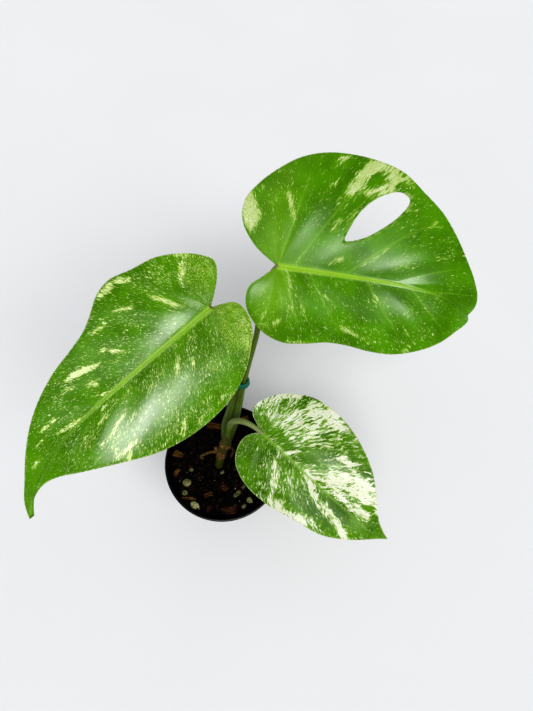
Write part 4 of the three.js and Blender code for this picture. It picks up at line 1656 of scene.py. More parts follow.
@dataclass
class NurseryPot:
    """Thin black pot with a collar, a rolled rim and drain holes."""

    rim_radius: float = 50.0
    height: float = 88.0
    foot_radius: float = 36.0
    wall: float = 1.3
    floor: float = 1.8
    collar_height: float = 10.0
    collar_step: float = 1.5
    bead_radius: float = 1.1
    drain_count: int = 8
    drain_radius: float = 3.5
    drain_ring: float = 25.0
    drain_flare: float = 0.4
    drain_sides: int = 36
    segments: int = 180

    def outer_radius(self, z: float) -> float:
        """Outer radius of the wall at a height, below the collar."""
        top = self.rim_radius - self.bead_radius - self.collar_step
        return self.foot_radius + (top - self.foot_radius) * z / (self.height - self.collar_height)

    def _profile(self) -> list[tuple[float, float]]:
        """Follows the wall's section from the foot's middle out, up, over the rim and back.

        Returns:
            Radius and height of each point.
        """
        collar = self.height - self.collar_height
        shoulder = self.outer_radius(collar)
        collar_radius = shoulder + self.collar_step
        liner = collar_radius - self.wall
        bead = (self.rim_radius - self.bead_radius, self.height - self.bead_radius)
        foot_corner = np.linspace(0.05, pi / 2, 5)
        section = [(r, 0) for r in (0.0, 8.0, 16.0, 33.0, self.foot_radius - 1.2)]
        section += [(self.foot_radius - 1 + sin(a), 1 - cos(a)) for a in foot_corner]
        section += [(self.outer_radius(z), z) for z in np.linspace(4, collar - 0.6, 12)]
        section += [
            (shoulder + 0.1, collar - 0.1),
            (shoulder + 0.5, collar + 0.25),
            (collar_radius - 0.35, collar + 1.1),
            (collar_radius - 0.05, collar + 1.5),
            (collar_radius, collar + 2.0),
        ]
        bead_foot = self.height - 3.4 * self.bead_radius
        section += [(collar_radius, z) for z in np.linspace(collar + 3, bead_foot, 3)]
        section += [
            (bead[0] + self.bead_radius * cos(a), bead[1] + self.bead_radius * sin(a))
            for a in np.radians(np.linspace(-50, 200, 14))
        ]
        section += [(liner, self.height - 3.2), (liner, collar + 3.4)]
        section += [(shoulder - self.wall + 0.2, collar + 1.2)]
        section += [(self.outer_radius(z) - self.wall, z) for z in np.linspace(collar, self.floor + 2, 8)]
        section += [(self.outer_radius(self.floor) - self.wall - 1.2, self.floor)]
        return section + [(33.0, self.floor), (0.0, self.floor)]

    def build(self) -> Object:
        """Turns the wall, drills the drain holes and gives the pot its plastic.

        Returns:
            The pot.
        """
        profile = self._profile()
        turns = np.linspace(0, 2 * pi, self.segments, endpoint=False)
        points = [(0, 0, profile[0][1])]
        for r, z in profile[1:-1]:
            points += [(r * cos(a), r * sin(a), z) for a in turns]
        points.append((0, 0, profile[-1][1]))
        faces = turned_faces(len(profile) - 2, self.segments)
        shell = new_object("shell", mesh_from(np.array(points), faces))
        drills = self._drills()
        cut = shell.modifiers.new("drain", "BOOLEAN")
        cut.operation = "DIFFERENCE"
        cut.solver = "EXACT"
        cut.object = drills
        pot = finished(shell, "nursery_pot")
        bpy.data.objects.remove(drills)
        wall = bmesh.new()
        wall.from_mesh(pot.data)
        closest = 0.004 * MM
        bmesh.ops.remove_doubles(wall, verts=wall.verts, dist=closest)
        bmesh.ops.dissolve_degenerate(wall, edges=wall.edges, dist=closest)
        wall.to_mesh(pot.data)
        wall.free()
        pot.data.shade_smooth()
        pot.data.set_sharp_from_angle(angle=radians(38))
        pot.data.materials.clear()
        pot.data.materials.append(PotFinish().material())
        return pot

    def _drills(self) -> Object:
        """Makes drill rods with a flare at the underside, one for each drain hole.

        Returns:
            All the rods as one object.
        """
        shaft = bmesh.new()
        flare, hole, n = self.drain_flare, self.drain_radius, self.drain_sides
        levels = ((hole + flare, -1.0), (hole + flare, 0.0), (hole, flare), (hole, 4.0))
        for turn in np.linspace(0, 2 * pi, self.drain_count, endpoint=False):
            centre = Vector((self.drain_ring * cos(turn), self.drain_ring * sin(turn), 0))
            loops = []
            for radius, z in levels:
                loops.append([
                    shaft.verts.new((centre + Vector((radius * cos(a), radius * sin(a), z))) * MM)
                    for a in np.linspace(0, 2 * pi, n, endpoint=False)
                ])
            for low, high in zip(loops, loops[1:]):
                for j in range(n):
                    shaft.faces.new((low[j], low[(j + 1) % n], high[(j + 1) % n], high[j]))
            shaft.faces.new(list(reversed(loops[0])))
            shaft.faces.new(loops[-1])
        mesh = bpy.data.meshes.new("drills")
        shaft.to_mesh(mesh)
        shaft.free()
        return new_object("drills", mesh)


@dataclass(frozen=True)
class LoosePiece:
    """A perlite lump or bark chip: its place on the mix, its size and its turn."""

    x: float
    y: float
    size: tuple[float, float, float]
    turn: float
    tint: float


def loose(*rows: Sequence[object]) -> tuple[LoosePiece, ...]:
    """Loose pieces from rows of their values, in the order of a piece's fields."""
    return tuple(LoosePiece(*row) for row in rows)


@dataclass
class PottingMix:
    """Bark mix that fills the pot: its plug, its crumbs, and the loose pieces on top."""

    pot: NurseryPot
    level: float = 80.5
    mound: float = 1.5
    mound_reach: float = 24.0
    mound_centre: tuple[float, float] = (-4.2, 0.0)
    lumps: float = 0.9
    gap: float = 0.3
    rings: int = 64
    segments: int = 200
    perlite_sunk: float = 0.45
    bark_sunk: float = 0.4
    perlite: Sequence[LoosePiece] = loose(
        (-31, -17.7, (7.8, 7.4, 5.6), 20, 0.45),
        (-32.4, -25.6, (5.8, 5.4, 4.6), 70, 0.25),
        (-23.4, -36, (8.8, 6.4, 5.2), -35, 1.0),
        (-28.1, -6.2, (4.6, 4.2, 3.8), 0, 0.1),
        (-1.4, -8.4, (4.4, 4.0, 3.6), 40, 0.4),
        (22.1, -31.4, (5.8, 6.6, 4.8), 15, 0.55),
        (17.4, -36.6, (4.6, 4.2, 3.8), 60, 0.3),
        (11.5, -26.6, (8.4, 5.0, 4.4), 42, 0.2),
        (16.9, -20.4, (4.8, 4.4, 3.8), -20, 0.15),
    )
    bark: Sequence[LoosePiece] = loose(
        (-29.4, -30.4, (9.6, 1.8, 2.2), -5, 0.9),
        (-12.5, -27.6, (7.4, 3.2, 2.6), 14, 0.7),
        (0.7, -21.4, (6.4, 4.6, 3.0), -30, 0.5),
        (5.2, -40, (12.0, 6.0, 3.6), 8, 0.2),
        (-11.6, -39, (6.0, 4.0, 3.0), 50, 0.1),
        (-40, -8.6, (7.2, 3.4, 3.0), 66, 0.8),
        (-39.6, 7, (8.4, 5.0, 3.4), -28, 0.6),
        (-9.5, 32.7, (14.5, 5.6, 3.8), 2, 0.65),
        (17.2, 37.8, (8.2, 5.6, 5.4), 24, 0.95),
    )

    def surface(self, x: Array, y: Array) -> Array:
        """Finds the height of the mix's surface, as the solids have it.

        Args:
            x: places across the pot.
            y: places along it.

        Returns:
            The height at each place.
        """
        away = np.hypot(x - self.mound_centre[0], y - self.mound_centre[1])
        mound = self.mound * np.exp(-((away / self.mound_reach) ** 2))
        crossed = np.sin(0.41 * x + 1.3) * np.cos(0.37 * y - 0.4)
        return self.level + mound + self.lumps * (crossed + 0.6 * np.sin(0.93 * x - 0.71 * y))

    def _radius(self, z: float) -> float:
        """Radius of the plug inside the pot's wall at a height."""
        return self.pot.outer_radius(z) - self.pot.wall - 2 * self.gap

    def build_plug(self) -> Object:
        """Makes the plug with its crumbly top.

        Returns:
            The plug.
        """
        shoulder = self.pot.height - self.pot.collar_height
        bottom = self.pot.floor + self.gap
        top_radius = self._radius(shoulder) + self.gap
        n = self.segments
        turns = np.linspace(0, 2 * pi, n, endpoint=False)
        points = [(0.0, 0.0, bottom)]
        heights = np.linspace(bottom, shoulder - 1, 14)
        for z in heights:
            radii = self._radius(z) + (0.25 * np.sin(7 * turns + z) * np.sin(3 * turns - 0.4 * z) - 0.25)
            points += [(radius * cos(a), radius * sin(a), z) for a, radius in zip(turns, radii)]
        rng = np.random.default_rng(11)
        for share in np.linspace(1, 1 / self.rings, self.rings):
            x, y = top_radius * share * np.cos(turns), top_radius * share * np.sin(turns)
            z = self.surface(x, y) + 0.35 * np.sin(2.1 * x + 1.7 * y) * np.cos(2.6 * y - 1.1 * x)
            points += list(zip(x, y, z + rng.uniform(-0.3, 0.3, n) * min(1.0, 3 * share)))
        points.append((0.0, 0.0, float(self.surface(np.array(0.0), np.array(0.0)))))
        faces = turned_faces(len(heights) + self.rings, n)
        # Near-black mix: the moist mix's own dark colour, darkened further as painted shade from the leaves
        # above.
        finish = MatterFinish("moist_shaded_mix", srgb(2, 2, 2), srgb(8, 7, 5), 0.75, 0.9, 0.7)
        return new_object("mix_plug", mesh_from(np.array(points), faces), finish.material())

    def build_crumbs(self, plug: Object) -> list[Object]:
        """Scatters coir crumbs, bark bits, grit and fibres over the plug.

        Args:
            plug: the plug whose top they lie on.

        Returns:
            One piece for each kind of bit.
        """
        # The coir crumbs and bark bits are darkened the same way: their own dark colours plus painted shade
        # from the leaves above.
        kinds = (
            (
                "coir_crumbs",
                MatterFinish("coir", srgb(2, 2, 2), srgb(12, 9, 6), 0.8, 1.6, 0.2),
                dict(Density=520000.0, Seed=3, Smallest=0.0004, Largest=0.0011, Shape=(1.2, 1.0, 0.7),
                     Detail=1, Roughness=0.9, Reach=0.0443, Lie=1.0),
            ),
            (
                "bark_bits",
                MatterFinish("bark_bits", srgb(5, 4, 3), srgb(50, 34, 20), 0.85, 1.2, 0.25),
                dict(Density=62000.0, Seed=8, Smallest=0.0007, Largest=0.0017, Shape=(1.9, 0.9, 0.45),
                     Detail=2, Roughness=0.7, Reach=0.0435, Lie=0.16),
            ),
            (
                "perlite_grit",
                MatterFinish("grit", srgb(80, 76, 60), srgb(150, 146, 124), 0.9, 1.5, 0.2),
                dict(Density=7000.0, Seed=21, Smallest=0.00035, Largest=0.0008, Shape=(1.1, 1.0, 0.8),
                     Detail=2, Roughness=0.6, Reach=0.044, Lie=1.0),
            ),
            (
                "dry_fibres",
                MatterFinish("fibre", srgb(24, 16, 9), srgb(84, 60, 34), 0.85, 1.2, 0.1),
                dict(Density=21000.0, Seed=34, Smallest=0.0004, Largest=0.0008, Shape=(4.5, 0.28, 0.24),
                     Detail=2, Roughness=0.9, Reach=0.0415, Lie=0.09),
            ),
        )
        pieces = []
        for name, finish, values in kinds:
            source = new_object("bits", plug.data.copy())
            pieces.append(crumb_tree().run(source, name, finish.material(), **values))
        return pieces

    def build_perlite(self) -> list[Object]:
        """Makes each perlite lump, with its pores, on the place of its solid.

        Returns:
            One piece for each lump.
        """
        pieces = []
        for i, lump in enumerate(self.perlite):
            bm = bmesh.new()
            bmesh.ops.create_icosphere(bm, subdivisions=5, radius=1.0)
            at, faces = taken_apart(bm)
            shape = at * self._swelling(at, 100 + i)[:, None] * (np.array(lump.size) / 2)
            points = self._laid(shape, lump, self.perlite_sunk)
            share = lump.tint
            low = srgb(54 + 70 * share, 53 + 68 * share, 34 + 46 * share)
            high = srgb(110 + 78 * share, 108 + 76 * share, 76 + 62 * share)
            skin = MatterFinish(f"perlite_{i + 1}_skin", low, high, 0.9, 1.2, 0.35).material()
            pieces.append(new_object(f"perlite_lump_{i + 1}", mesh_from(points, faces), skin))
        return pieces

    @staticmethod
    def _swelling(at: Array, seed: int) -> Array:
        """Draws the bumps and pits of a perlite lump.

        Args:
            at: points of a ball with radius 1.
            seed: seed of the draw.

        Returns:
            How far out each point lies, as a share of the ball's radius.
        """
        rng = np.random.default_rng(seed)
        bumps = sum(
            rng.uniform(0.3, 1.0) * np.sin(at @ rng.normal(0, k, 3) + rng.uniform(0, 6)) / k
            for k in (1.6, 2.2, 3.0, 4.2, 6.0, 8.5, 12.0)
        )
        pits = np.zeros(len(at))
        for _ in range(16):
            spot = rng.normal(size=3)
            spot /= norm(spot)
            depth = rng.uniform(0.03, 0.09)
            pits += depth * np.exp(-np.sum((at - spot) ** 2, axis=1) / rng.uniform(0.012, 0.05))
        return 0.95 + 0.1 * bumps - pits

    def build_bark(self) -> list[Object]:
        """Makes each bark chip, split along its grain, on the place of its solid.

        Returns:
            One piece for each chip.
        """
        pieces = []
        for i, chip in enumerate(self.bark):
            bm = bmesh.new()
            bmesh.ops.create_cube(bm, size=1.0)
            bmesh.ops.subdivide_edges(bm, edges=bm.edges[:], cuts=15, use_grid_fill=True)
            at, faces = taken_apart(bm)
            shape = self._split(at, 200 + i) * np.array(chip.size)
            points = self._laid(shape, chip, self.bark_sunk)
            share = chip.tint
            low = srgb(20 + 30 * share, 9 + 18 * share, 6 + 7 * share)
            high = srgb(62 + 70 * share, 32 + 68 * share, 18 + 26 * share)
            finish = MatterFinish(f"bark_{i + 1}_skin", low, high, 0.78, 0.9, 0.4, (0.5, 1.6, 1.6))
            mesh = mesh_from(points, faces, 55)
            pieces.append(new_object(f"bark_chip_{i + 1}", mesh, finish.material()))
        return pieces

    @staticmethod
    def _split(at: Array, seed: int) -> Array:
        """Turns a block into a chip with worn corners, split faces and torn ends.

        Args:
            at: points of a block with edges of 1.
            seed: seed of the draw.

        Returns:
            The chip's points.
        """
        rng = np.random.default_rng(seed)
        corner = np.abs(at).max(axis=1)[:, None]
        away = np.maximum(norm(at, axis=1)[:, None], 1e-6)
        at = at * (0.8 + 0.2 * (corner / away) * 1.4)

        def wavy(place: Array) -> Array:
            """Sine of a place with a drawn shift."""
            return np.sin(place + rng.uniform(0, 6))

        grain = sum(wavy(at[:, 1] * k) * wavy(at[:, 0] * 2) for k in (9, 17, 31))
        ends = sum(wavy(at[:, 1] * k + at[:, 2] * k * 0.7) for k in (7, 13, 24))
        at[:, 2] *= 1 + 0.07 * grain - 0.25 * at[:, 0] * rng.uniform(-1, 1)
        at[:, 0] *= 0.96 + 0.06 * ends - 0.5 * at[:, 1] * rng.uniform(-1, 1)
        at[:, 1] *= 1 - 0.8 * at[:, 0] * rng.uniform(-1, 1)
        at[:, 1] += 0.12 * wavy(4 * at[:, 0])
        at[:, 2] += 0.1 * np.cos(3 * at[:, 0] + rng.uniform(0, 3))
        return at

    def _laid(self, shape: Array, piece: LoosePiece, sunk: float) -> Array:
        """Turns a loose piece's points and presses them into the mix.

        Args:
            shape: its points round its own middle.
            piece: its place and its turn.
            sunk: share of its height that lies in the mix.

        Returns:
            The points in the pot's frame.
        """
        turn = radians(piece.turn)
        x = shape[:, 0] * cos(turn) - shape[:, 1] * sin(turn) + piece.x
        y = shape[:, 0] * sin(turn) + shape[:, 1] * cos(turn) + piece.y
        base = float(self.surface(np.array(piece.x), np.array(piece.y)))
        return np.stack([x, y, shape[:, 2] + base + piece.size[2] * (0.5 - sunk)], axis=1)


# Studio


@dataclass
class SoftLight:
    """A far, wide soft light. Its angles are in degrees, and its azimuth runs from +Y towards +X."""

    name: str
    azimuth: float
    elevation: float
    width: float
    strength: float
    colour: tuple[float, float, float] = (1.0, 1.0, 1.0)


@dataclass
class Studio:
    """Pale floor, soft light and the camera that looks down on the plant."""

    camera_place: tuple[float, float, float] = (0.03632, -0.11079, 0.53646)
    camera_tilt: float = 25.0
    focal_pixels: float = 534.0
    frame_height: float = 711.0
    sensor: float = 36.0
    horizon: float = 0.69
    zenith: float = 0.34
    mirrored: float = 0.08
    sky_colour: Colour = (0.965, 0.98, 1.0, 1.0)
    floor_reach: float = 40000.0
    lights: Sequence[SoftLight] = (
        SoftLight("left_window", 181, 59, 30.0, 1.2),
        SoftLight("right_window", 136, 49, 28.0, 0.85),
    )

    def build(self) -> None:
        """Sets up the floor, the light and the camera."""
        self._camera()
        self._floor()
        self._sky()
        bpy.context.scene.view_settings.view_transform = "Standard"
        bpy.context.scene.view_settings.look = "High Contrast"
        for light in self.lights:
            self._light(light)

    def _sky(self) -> None:
        """Walls and ceiling that glow softly, and that glossy surfaces mirror only faintly."""
        world = bpy.data.worlds.new("studio_sky")
        world.use_nodes = True
        g = Graph(world.node_tree)
        background = world.node_tree.nodes["Background"]
        background.inputs["Color"].default_value = self.sky_colour
        rise = g.math("ABSOLUTE", g.axis(g.add("ShaderNodeTexCoord").outputs["Generated"], "Z"))
        glow = g.span(rise, 0.0, 0.4, self.horizon, self.zenith)
        glossy = g.add("ShaderNodeLightPath").outputs["Is Glossy Ray"]
        g.put(background.inputs["Strength"], g.times(glow, g.span(glossy, 0, 1, 1, self.mirrored)))
        bpy.context.scene.world = world

    def _camera(self) -> None:
        """Camera with the photograph's height, tilt and field of view."""
        data = bpy.data.cameras.new("camera")
        data.sensor_width = self.sensor
        data.lens = self.focal_pixels / self.frame_height * self.sensor
        data.clip_start = 0.01
        camera = bpy.data.objects.new("camera", data)
        camera.location = self.camera_place
        camera.rotation_euler = (radians(self.camera_tilt), 0, 0)
        bpy.context.scene.collection.objects.link(camera)
        bpy.context.scene.camera = camera

    def _floor(self) -> None:
        """Wide pale floor that the pot stands on."""
        far = self.floor_reach
        corners = np.array([(-far, -far, 0), (far, -far, 0), (far, far, 0), (-far, far, 0)])
        surface = Surface("pale_floor", Roughness=0.9, Specular_IOR_Level=0.1)
        g = surface.graph
        cloud = g.noise(surface.place(), 0.004, 2, 0.5)
        surface.feed(Base_Color=g.mix(cloud, srgb(216, 216, 217), srgb(221, 221, 222)))
        new_object("floor", mesh_from(corners, [[0, 1, 2, 3]]), surface.material)

    def _light(self, light: SoftLight) -> None:
        """Stands a soft light up and turns it to the plant.

        Args:
            light: the light's values.
        """
        data = bpy.data.lights.new(light.name, "SUN")
        data.angle = radians(light.width)
        data.energy = light.strength
        data.color = light.colour
        azimuth, elevation = radians(light.azimuth), radians(light.elevation)
        level = cos(elevation)
        way = Vector((sin(azimuth) * level, cos(azimuth) * level, sin(elevation)))
        lamp = bpy.data.objects.new(light.name, data)
        lamp.location = way
        lamp.rotation_euler = way.to_track_quat("Z", "Y").to_euler()
        bpy.context.scene.collection.objects.link(lamp)


# The plant


def upper_blade() -> Blade:
    """Large upper blade on the right, with its window.

    Returns:
        The blade. Each half's outline runs from the stalk to the tip.
    """
    return Blade(
        name="upper_leaf",
        finish=LeafFinish("upper_leaf", 0.0),
        stalk_point=(44, 89, 250), tip=(174, 71, 220), facing=(0.12, -0.5, 0.86),
        sweep=7, bow=6, hook=4, fold=((0.2, 0.26 / 80), (0.2, 0.32 / 50)), pleat=1.14, waves=2.5, wave=1.3,
        left=(
            (0, 0), (-17, 9.7), (-28, 23), (-29.5, 36), (-23.5, 48), (-13, 60.5), (0, 71.5), (15, 78),
            (32, 80.5), (50, 80), (66, 77), (82, 68), (98, 58.5), (111, 46.5), (122, 34.5), (132.5, 23),
            (139.5, 13), (140.5, 6), (137.6, 0),
        ),
        right=(
            (0, 0), (-8, -8.5), (-15, -17), (-14.5, -27.5), (-8.5, -36.5), (1, -43.5), (14.5, -47),
            (29, -44.5), (43, -40.5), (57, -39.5), (72, -40), (88, -38.5), (103, -33), (117, -24.5),
            (128, -14.5), (139.4, -3.4), (137.6, 0),
        ),
        window=(
            (37, 25), (38.5, 34), (43.5, 46.5), (53, 57.3), (66, 63.8), (73.2, 60.5), (69.5, 50.5),
            (58.5, 37.5), (46.5, 28),
        ),
        veins=((0.13, 0.25, 0.365, 0.495, 0.675, 0.8, 0.89), (0.14, 0.3, 0.43, 0.56, 0.735, 0.85)),
        cream=(0.12, 0.14), specks=(0.34, 0.62), mottle=(0.15, 0.24), rib_width=2.0, wax=0.02,
        waxed=patches(
            (82, 9, 14, 14, 0, 1.0), (64, 16, 20, 10, 10, 0.32), (33, 19, 17, 7, 48, 0.4),
            (12, 28, 22, 7, 78, 0.3), (-10, 56, 20, 6, 50, 0.6), (-10, -14, 9, 5, 60, 0.8),
            (92, -6, 11, 6, 0, 0.45),
        ),
        mottled=patches(
            (-10, 42, 12, 18, 0, 0.35), (0, 52, 10, 14, 0, 0.2),
        ),
        limed=patches(
            (2, -18, 12, 24, 0, 0.8), (-6, 18, 10, 14, 0, 0.55), (-8, 45, 12, 18, 0, 0.5),
        ),
        splashes=patches(
            (-25.5, 31, 12, 4.4, 105, 1.6), (-20, 28, 4.5, 3.2, 60, 0.85), (-21, 46, 4, 2.2, 60, 0.5),
            (-12, 37, 5, 4, 90, 0.35), (-3, 44, 3.5, 1.6, 115, 0.99), (0.6, 36.5, 8, 1.7, 110, 1.03),
            (24, 74, 5, 1.8, 60, 0.89), (28.5, 77.5, 3.5, 1.6, 30, 0.75),
            (22.5, 58.5, 3.5, 2, 60, 0.75), (13.5, 61, 2.6, 1.4, 80, 0.66),
            (38.5, 64, 13, 4.4, 62, 1.25), (45, 75, 7, 2.8, 40, 1.15), (57, 75.5, 13, 4.4, -10, 1.15),
            (57.5, 67, 8, 4, 45, 1.2), (46.5, 59.5, 6, 2.2, 35, 1.15), (49, 67, 7, 3, 55, -0.6),
            (60, 71, 8, 1.3, 35, -0.7), (69.5, 68, 3, 1.8, 45, 0.8), (53, 58.5, 8, 1.2, 42, 0.85),
            (39, 43.5, 8, 1.6, 62, 0.8), (30, 34.5, 6, 1.4, 66, 0.94), (27.5, 48, 4, 1, 80, 0.66),
            (63, 23, 6, 1.2, 52, 0.85), (55, 16, 4, 1, 50, 0.7), (35.5, 11.5, 5.5, 2.4, 40, 0.7),
            (78, 18.5, 7, 1.2, 42, 0.7), (92, 48.5, 8, 1.6, 42, 0.7), (104, 30, 4, 1.2, 10, 0.8),
            (103, 41, 4, 1, 10, 0.61), (8.5, -6.5, 7, 1.2, -62, 0.89), (12, -17, 5, 1, -60, 0.7),
            (14, -24, 2.2, 1.4, 0, 0.8), (21, -22, 4, 1.3, -60, 0.75), (33.5, -12, 6, 1, -25, 0.8),
            (55, -30.5, 7.5, 1.6, -12, 1.03), (67.5, -33, 4, 1.1, -25, 0.8),
            (67, -5.5, 4, 1, -25, 0.75), (92.5, -23, 3, 1.1, -30, 0.8), (97, -33, 4, 2.4, 60, 0.66),
            (-2, -33.5, 4.5, 1.4, 75, 0.75), (7.5, -35, 3.8, 2.1, 70, 0.85), (0, -39, 3, 1.4, 0, 0.7),
            (24, -44.5, 10, 1.2, 8, 0.61),
        ),
    )


def left_blade() -> Blade:
    """Long left blade with its drip tip.

    Returns:
        The blade. Each half's outline runs from the stalk to the tip.
    """
    return Blade(
        name="left_leaf",
        finish=LeafFinish(
            "left_leaf", 40.0, torn=0.8, bright=srgb(92, 146, 3), cream=srgb(222, 229, 192),
            butter=srgb(190, 206, 136), fleck=srgb(222, 230, 176), rib=srgb(148, 184, 70),
            pale=srgb(182, 202, 98),
        ),
        stalk_point=(2, 58, 250), tip=(-104, -61.5, 206.5), facing=(0.1, -0.42, 0.9),
        sweep=-14.7, bow=8, hook=6, fold=((0.3, 0.36 / 52), (0.24, 0.3 / 76)), pleat=0.75,
        waves=2, wave=1.2,
        left=(
            (0, 0), (-7.6, 4.2), (-13.4, 10), (-13, 18.4), (-6.8, 28.4), (3, 35.2), (14, 41), (28, 45),
            (43, 45.7), (58, 43.5), (73, 39), (88, 31.5), (101, 22), (113, 13), (125, 4), (135, -3.5),
            (145, -7.2), (156, -6.4), (169, -0.6),
        ),
        right=(
            (0, 0), (-9, -4.2), (-19, -10.5), (-24.5, -17.5), (-21.5, -26), (-13, -36.5), (-1, -45.5),
            (13, -50.5), (27, -56), (38.5, -54.8), (48, -50.5), (59, -46.5), (72, -45), (88, -44),
            (105, -40.5), (121, -34.5), (135, -26.5), (149, -17), (161, -9), (169, -0.6),
        ),
        veins=((0.15, 0.3, 0.44, 0.58, 0.7, 0.8, 0.88), (0.15, 0.29, 0.42, 0.55, 0.67, 0.78, 0.87)),
        cream=(0.14, 0.15), specks=(1.3, 0.9), mottle=(0.6, 0.32), speck_fade=0.55, vein_depth=0.35,
        rib_fade=0.66, rib_width=2.1, wax=0.03,
        waxed=patches(
            (82, 13, 40, 13, 5, 1.0), (44, 12, 16, 9, 0, 0.4), (22, -10, 20, 6, -8, 0.9),
            (54, -12, 14, 3, -8, 0.1),
        ),
        mottled=patches(
            (-3, 21, 17, 9, 70, 1.0), (-13, -19, 15, 10, 60, 1.0), (115, -14, 34, 14, 0, -0.5),
        ),
        splashes=patches(
            (32, -53, 6.5, 2.2, 0, 1.03), (21.5, -49.5, 4.5, 1.9, -45, 1.03),
            (75, -31, 8.5, 1.6, -28, 1.15), (81.5, -33.5, 6.5, 1.6, -18, 1.15),
            (79, -22.5, 3.2, 1.9, -50, 0.89), (81, -15.5, 4.5, 1, -35, 0.8),
            (90, -31, 4, 1.2, -30, 0.8), (14.5, -22.5, 9, 1.5, -68, 1.03),
            (56.5, -26, 8, 1.2, -55, 0.94), (34.5, -38, 6, 1.2, -35, 0.99),
            (53, -41, 5.5, 1.4, -15, 0.85), (47, -42.5, 3, 1, 80, 0.8), (-7, -28, 5, 2.1, 45, 0.89),
            (-14, -34, 5, 2.1, -55, 0.75), (-1, -24, 4, 1.1, 60, 0.75), (5, -36, 10, 8, 0, 0.2),
            (106, -17, 8.5, 1.3, -17, 0.94), (116, -27, 4.5, 1.1, -15, 0.94),
            (110, -26.5, 3, 1, -30, 0.75), (137, -18, 3.5, 1, 0, 0.8), (126, -24, 4, 1, 0, 0.61),
            (39.5, 8, 6, 1.4, 38, 1.03), (32.5, 14.5, 5, 1, 50, 0.94), (47, 23, 3, 0.9, 60, 0.8),
            (60, 4.5, 4, 1.2, 20, 0.8), (80, 7.5, 5, 1.1, 5, 0.85), (84, 3, 6, 1, 5, 0.8),
            (92, 4.5, 5, 1.1, 15, 0.89), (91, -5, 6, 1.1, 8, 0.8), (85, -9, 4, 1, 0, 0.8),
            (102, 4.5, 3.5, 1, 0, 0.8), (106, -3, 7, 3, 0, 0.5), (98, 21, 6.5, 1.4, 40, 1.1),
            (98, 17, 9, 1.2, -8, 0.94), (100, 12, 2.6, 1.6, 60, 0.89), (89, 19, 3, 1.2, 60, 0.75),
            (64, 33.5, 4.5, 1.8, 15, 0.8), (69, 37, 3, 1.2, 20, 0.7), (56, 40, 5, 1, 20, 0.7),
            (38, 41, 3, 1.3, 20, 0.7), (42, 35, 3.5, 1.3, 20, 0.66), (76, 29, 6, 5, 0, 0.35),
            (-4, 26, 8, 4, 60, 0.3),
        ),
    )


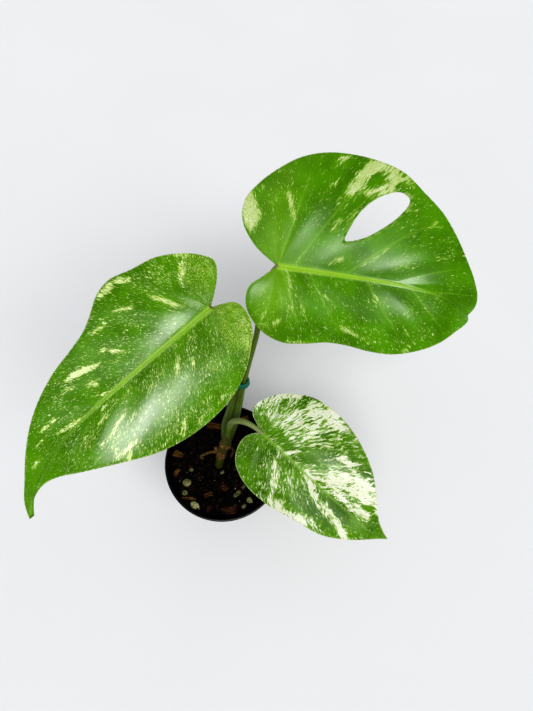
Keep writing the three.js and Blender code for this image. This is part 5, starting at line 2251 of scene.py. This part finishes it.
def lower_blade() -> Blade:
    """Small lower blade, the most strongly marked.

    Returns:
        The blade. Each half's outline runs from the stalk to the tip.
    """
    return Blade(
        name="lower_leaf",
        finish=LeafFinish(
            "lower_leaf", 80.0, torn=0.66, deep=srgb(60, 100, 3), bright=srgb(98, 146, 14),
            cream=srgb(226, 223, 219), butter=srgb(197, 204, 166), fleck=srgb(212, 222, 184),
            rib=srgb(132, 168, 62), pale=srgb(150, 182, 92),
        ),
        stalk_point=(34, 8, 150), tip=(125, -64, 124), facing=(-0.03, -0.37, 0.93),
        sweep=-3, bow=5, hook=4, fold=((0.22, 0.28 / 44), (0.22, 0.28 / 40)), pleat=0.65, waves=3, wave=1.0,
        left=(
            (0, 0), (-8.5, 2.8), (-15.5, 6.5), (-18, 13), (-14.5, 23), (-8, 32), (2, 40), (14, 45.5),
            (28, 47.3), (42, 46.3), (55, 43), (67, 38), (79, 31), (89, 22.5), (98, 13.5), (107, 6),
            (115, 2), (121, 0),
        ),
        right=(
            (0, 0), (-4.5, -3.2), (-8.8, -11), (-7.5, -21), (-2.5, -29), (5, -34), (15, -37.2),
            (27, -38.2), (39, -37), (52, -33.8), (66, -31.2), (80, -28), (93, -21.2), (105, -12.3),
            (113.5, -5), (121, 0),
        ),
        veins=((0.16, 0.3, 0.44, 0.56, 0.68, 0.79, 0.88), (0.16, 0.3, 0.43, 0.56, 0.68, 0.79, 0.88)),
        cream=(0.62, 0.34), specks=(0.7, 0.8), mottle=(0.55, 0.6), vein_depth=0.3, margin_width=0.6,
        rib_fade=0.75, rib_width=1.15, flow_size=(100.0, 25.0), wax=0.1,
        waxed=patches(
            (66, 20, 14, 5, 20, 0.7), (58, 38, 14, 6, -20, 0.5),
        ),
        splashes=patches(
            (-13, 27, 10, 5, 60, 0.22), (8, 28, 26, 12, 20, 0.12), (-12, 12, 7, 5, 100, -0.15),
            (-2, 27, 6, 2.5, 100, -0.4), (-3, 38, 9, 4, 40, 0.45), (8, 37, 6, 3.2, 90, -0.5),
            (12, 44.5, 7, 2.6, 10, -0.7), (28, 42.5, 14, 4.5, 0, 0.5), (12, 29, 10, 4, 75, 0.15),
            (4, 6, 16, 4.5, 0, -0.6), (28, 30, 10, 5, 40, 0.12), (30, 6, 14, 4, 10, -0.35),
            (26, 4.5, 7, 1.3, 50, 0.85), (62, 35, 20, 9, -20, -0.45), (38, 12, 15, 7, 20, -0.26),
            (48, 20, 12, 6, 60, -0.22), (60, 25, 8, 2.4, 15, 0.7), (48, 38, 8, 6, 0, 0.12),
            (75, 15, 17, 8, 15, 0.34), (90, 12, 13, 9, -25, 0.36), (80, 3, 20, 3.5, 0, 0.24),
            (58, 6, 9, 3.5, 20, 0.25), (93, 8.5, 5, 2, 20, -1.2), (82, 6.5, 4, 1.3, 20, -0.8),
            (100, 6, 2.5, 1.8, 0, -0.8), (72, 7, 5, 1, 20, -0.7), (84, 29, 10, 3.5, -35, -0.4),
            (112, 2, 10, 6, 0, -1.2), (19, -6, 7, 1.6, -60, 0.5), (22, -14, 5, 1.3, -65, 0.6),
            (8, -20, 14, 12, 0, -0.12), (30.5, -23, 11, 2.8, -63, 0.55), (41.5, -34, 10, 3.4, 8, 0.7),
            (56, -31, 9, 1.9, 10, 0.66), (64, -27.5, 8, 3.5, 20, 0.6), (40, -26, 6, 2.2, -60, 0.45),
            (50, -5, 10, 2.8, -32, 0.7), (72, -12, 18, 4.2, -17, 0.72), (91, -17, 9, 2.6, -22, 0.8),
            (36, -12, 6, 1.5, -60, 0.5), (45, -14, 6, 1.4, -55, 0.55), (75, -20.5, 13, 4, -12, -0.5),
            (86, -6, 22, 4, 0, -0.75), (14, -31, 16, 4, -8, -0.1),
        ),
    )


@dataclass
class Plant:
    """The monstera: blades, stalks, stem and tie."""

    upper: Blade = field(default_factory=upper_blade)
    left: Blade = field(default_factory=left_blade)
    lower: Blade = field(default_factory=lower_blade)

    def stalks(self) -> tuple[Stalk, Stalk, Stalk]:
        """Lays out the leaf stalks.

        Returns:
            The upper leaf's, the left leaf's and the lower leaf's.
        """
        upper = Stalk(
            "upper_stalk",
            ((5, 15.4, 111), (9.2, 22.6, 121), (12.6, 29.4, 133), (15.8, 35, 147), (19.6, 42.7, 165),
             (24.5, 53, 184), (30, 64, 204), (33.4, 76, 225)),
            (4.4, 4.4, 3.5, 2.7, 2.3, 2.2, 2.1, 2.0, 2.1, 2.4, 2.1), self.upper,
        )
        left = Stalk(
            "left_stalk",
            ((3.6, 14.6, 111), (4.2, 23, 122), (7.4, 29.4, 134), (10.9, 35.4, 148), (15.2, 43, 165),
             (14, 50, 190), (10.8, 57, 218)),
            (4.2, 3.9, 3.1, 2.4, 2.0, 1.9, 1.9, 2.0, 2.3, 2.0), self.left,
        )
        lower = Stalk(
            "lower_stalk",
            ((5, 15.4, 112), (7, 18.2, 124), (8, 19, 133), (10.3, 19.3, 141.4), (14, 18.5, 148),
             (18.5, 17, 151.6), (23, 15, 152.6), (27.4, 12.8, 151.4)),
            (4.4, 3.6, 2.9, 2.7, 2.6, 2.4, 2.1, 1.8, 1.5), self.lower,
            bent=False, knee_length=46.0, foot_length=22.0,
        )
        return upper, left, lower

    def build(self) -> None:
        """Builds and seats every living piece, and the tie."""
        upper, left, lower = self.stalks()
        blades = ((self.upper, "leaf_upper"), (self.left, "leaf_left"), (self.lower, "leaf_lower"))
        for blade, node in blades:
            seat(blade.build(), "leaf", node)
        for stalk, node in ((upper, "stalk_upper"), (left, "stalk_left"), (lower, "stalk_lower")):
            seat(stalk.build(), "stalk", node)
        seat(Stem().build(), "stem", "stem")
        seat(Tie().build((upper, left)), "tie", "tie")


def write_sizes() -> None:
    """Brings the scene's placements up to date.
    """
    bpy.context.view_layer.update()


def main() -> None:
    """Builds the studio, the pot, the mix and the plant."""
    logging.basicConfig(level=logging.INFO, format="%(name)s %(message)s")
    Studio().build()
    pot = NurseryPot()
    seat(pot.build(), "pot", "pot")
    mix = PottingMix(pot)
    plug = seat(mix.build_plug(), "soil", "soil")
    for crumbs in mix.build_crumbs(plug):
        seat(crumbs, "soil")
    for i, lump in enumerate(mix.build_perlite()):
        seat(lump, "perlite", f"perlite_{i + 1}")
    for i, chip in enumerate(mix.build_bark()):
        seat(chip, "bark", f"bark_{i + 1}")
    Plant().build()
    write_sizes()


if __name__ == "__main__":
    main()
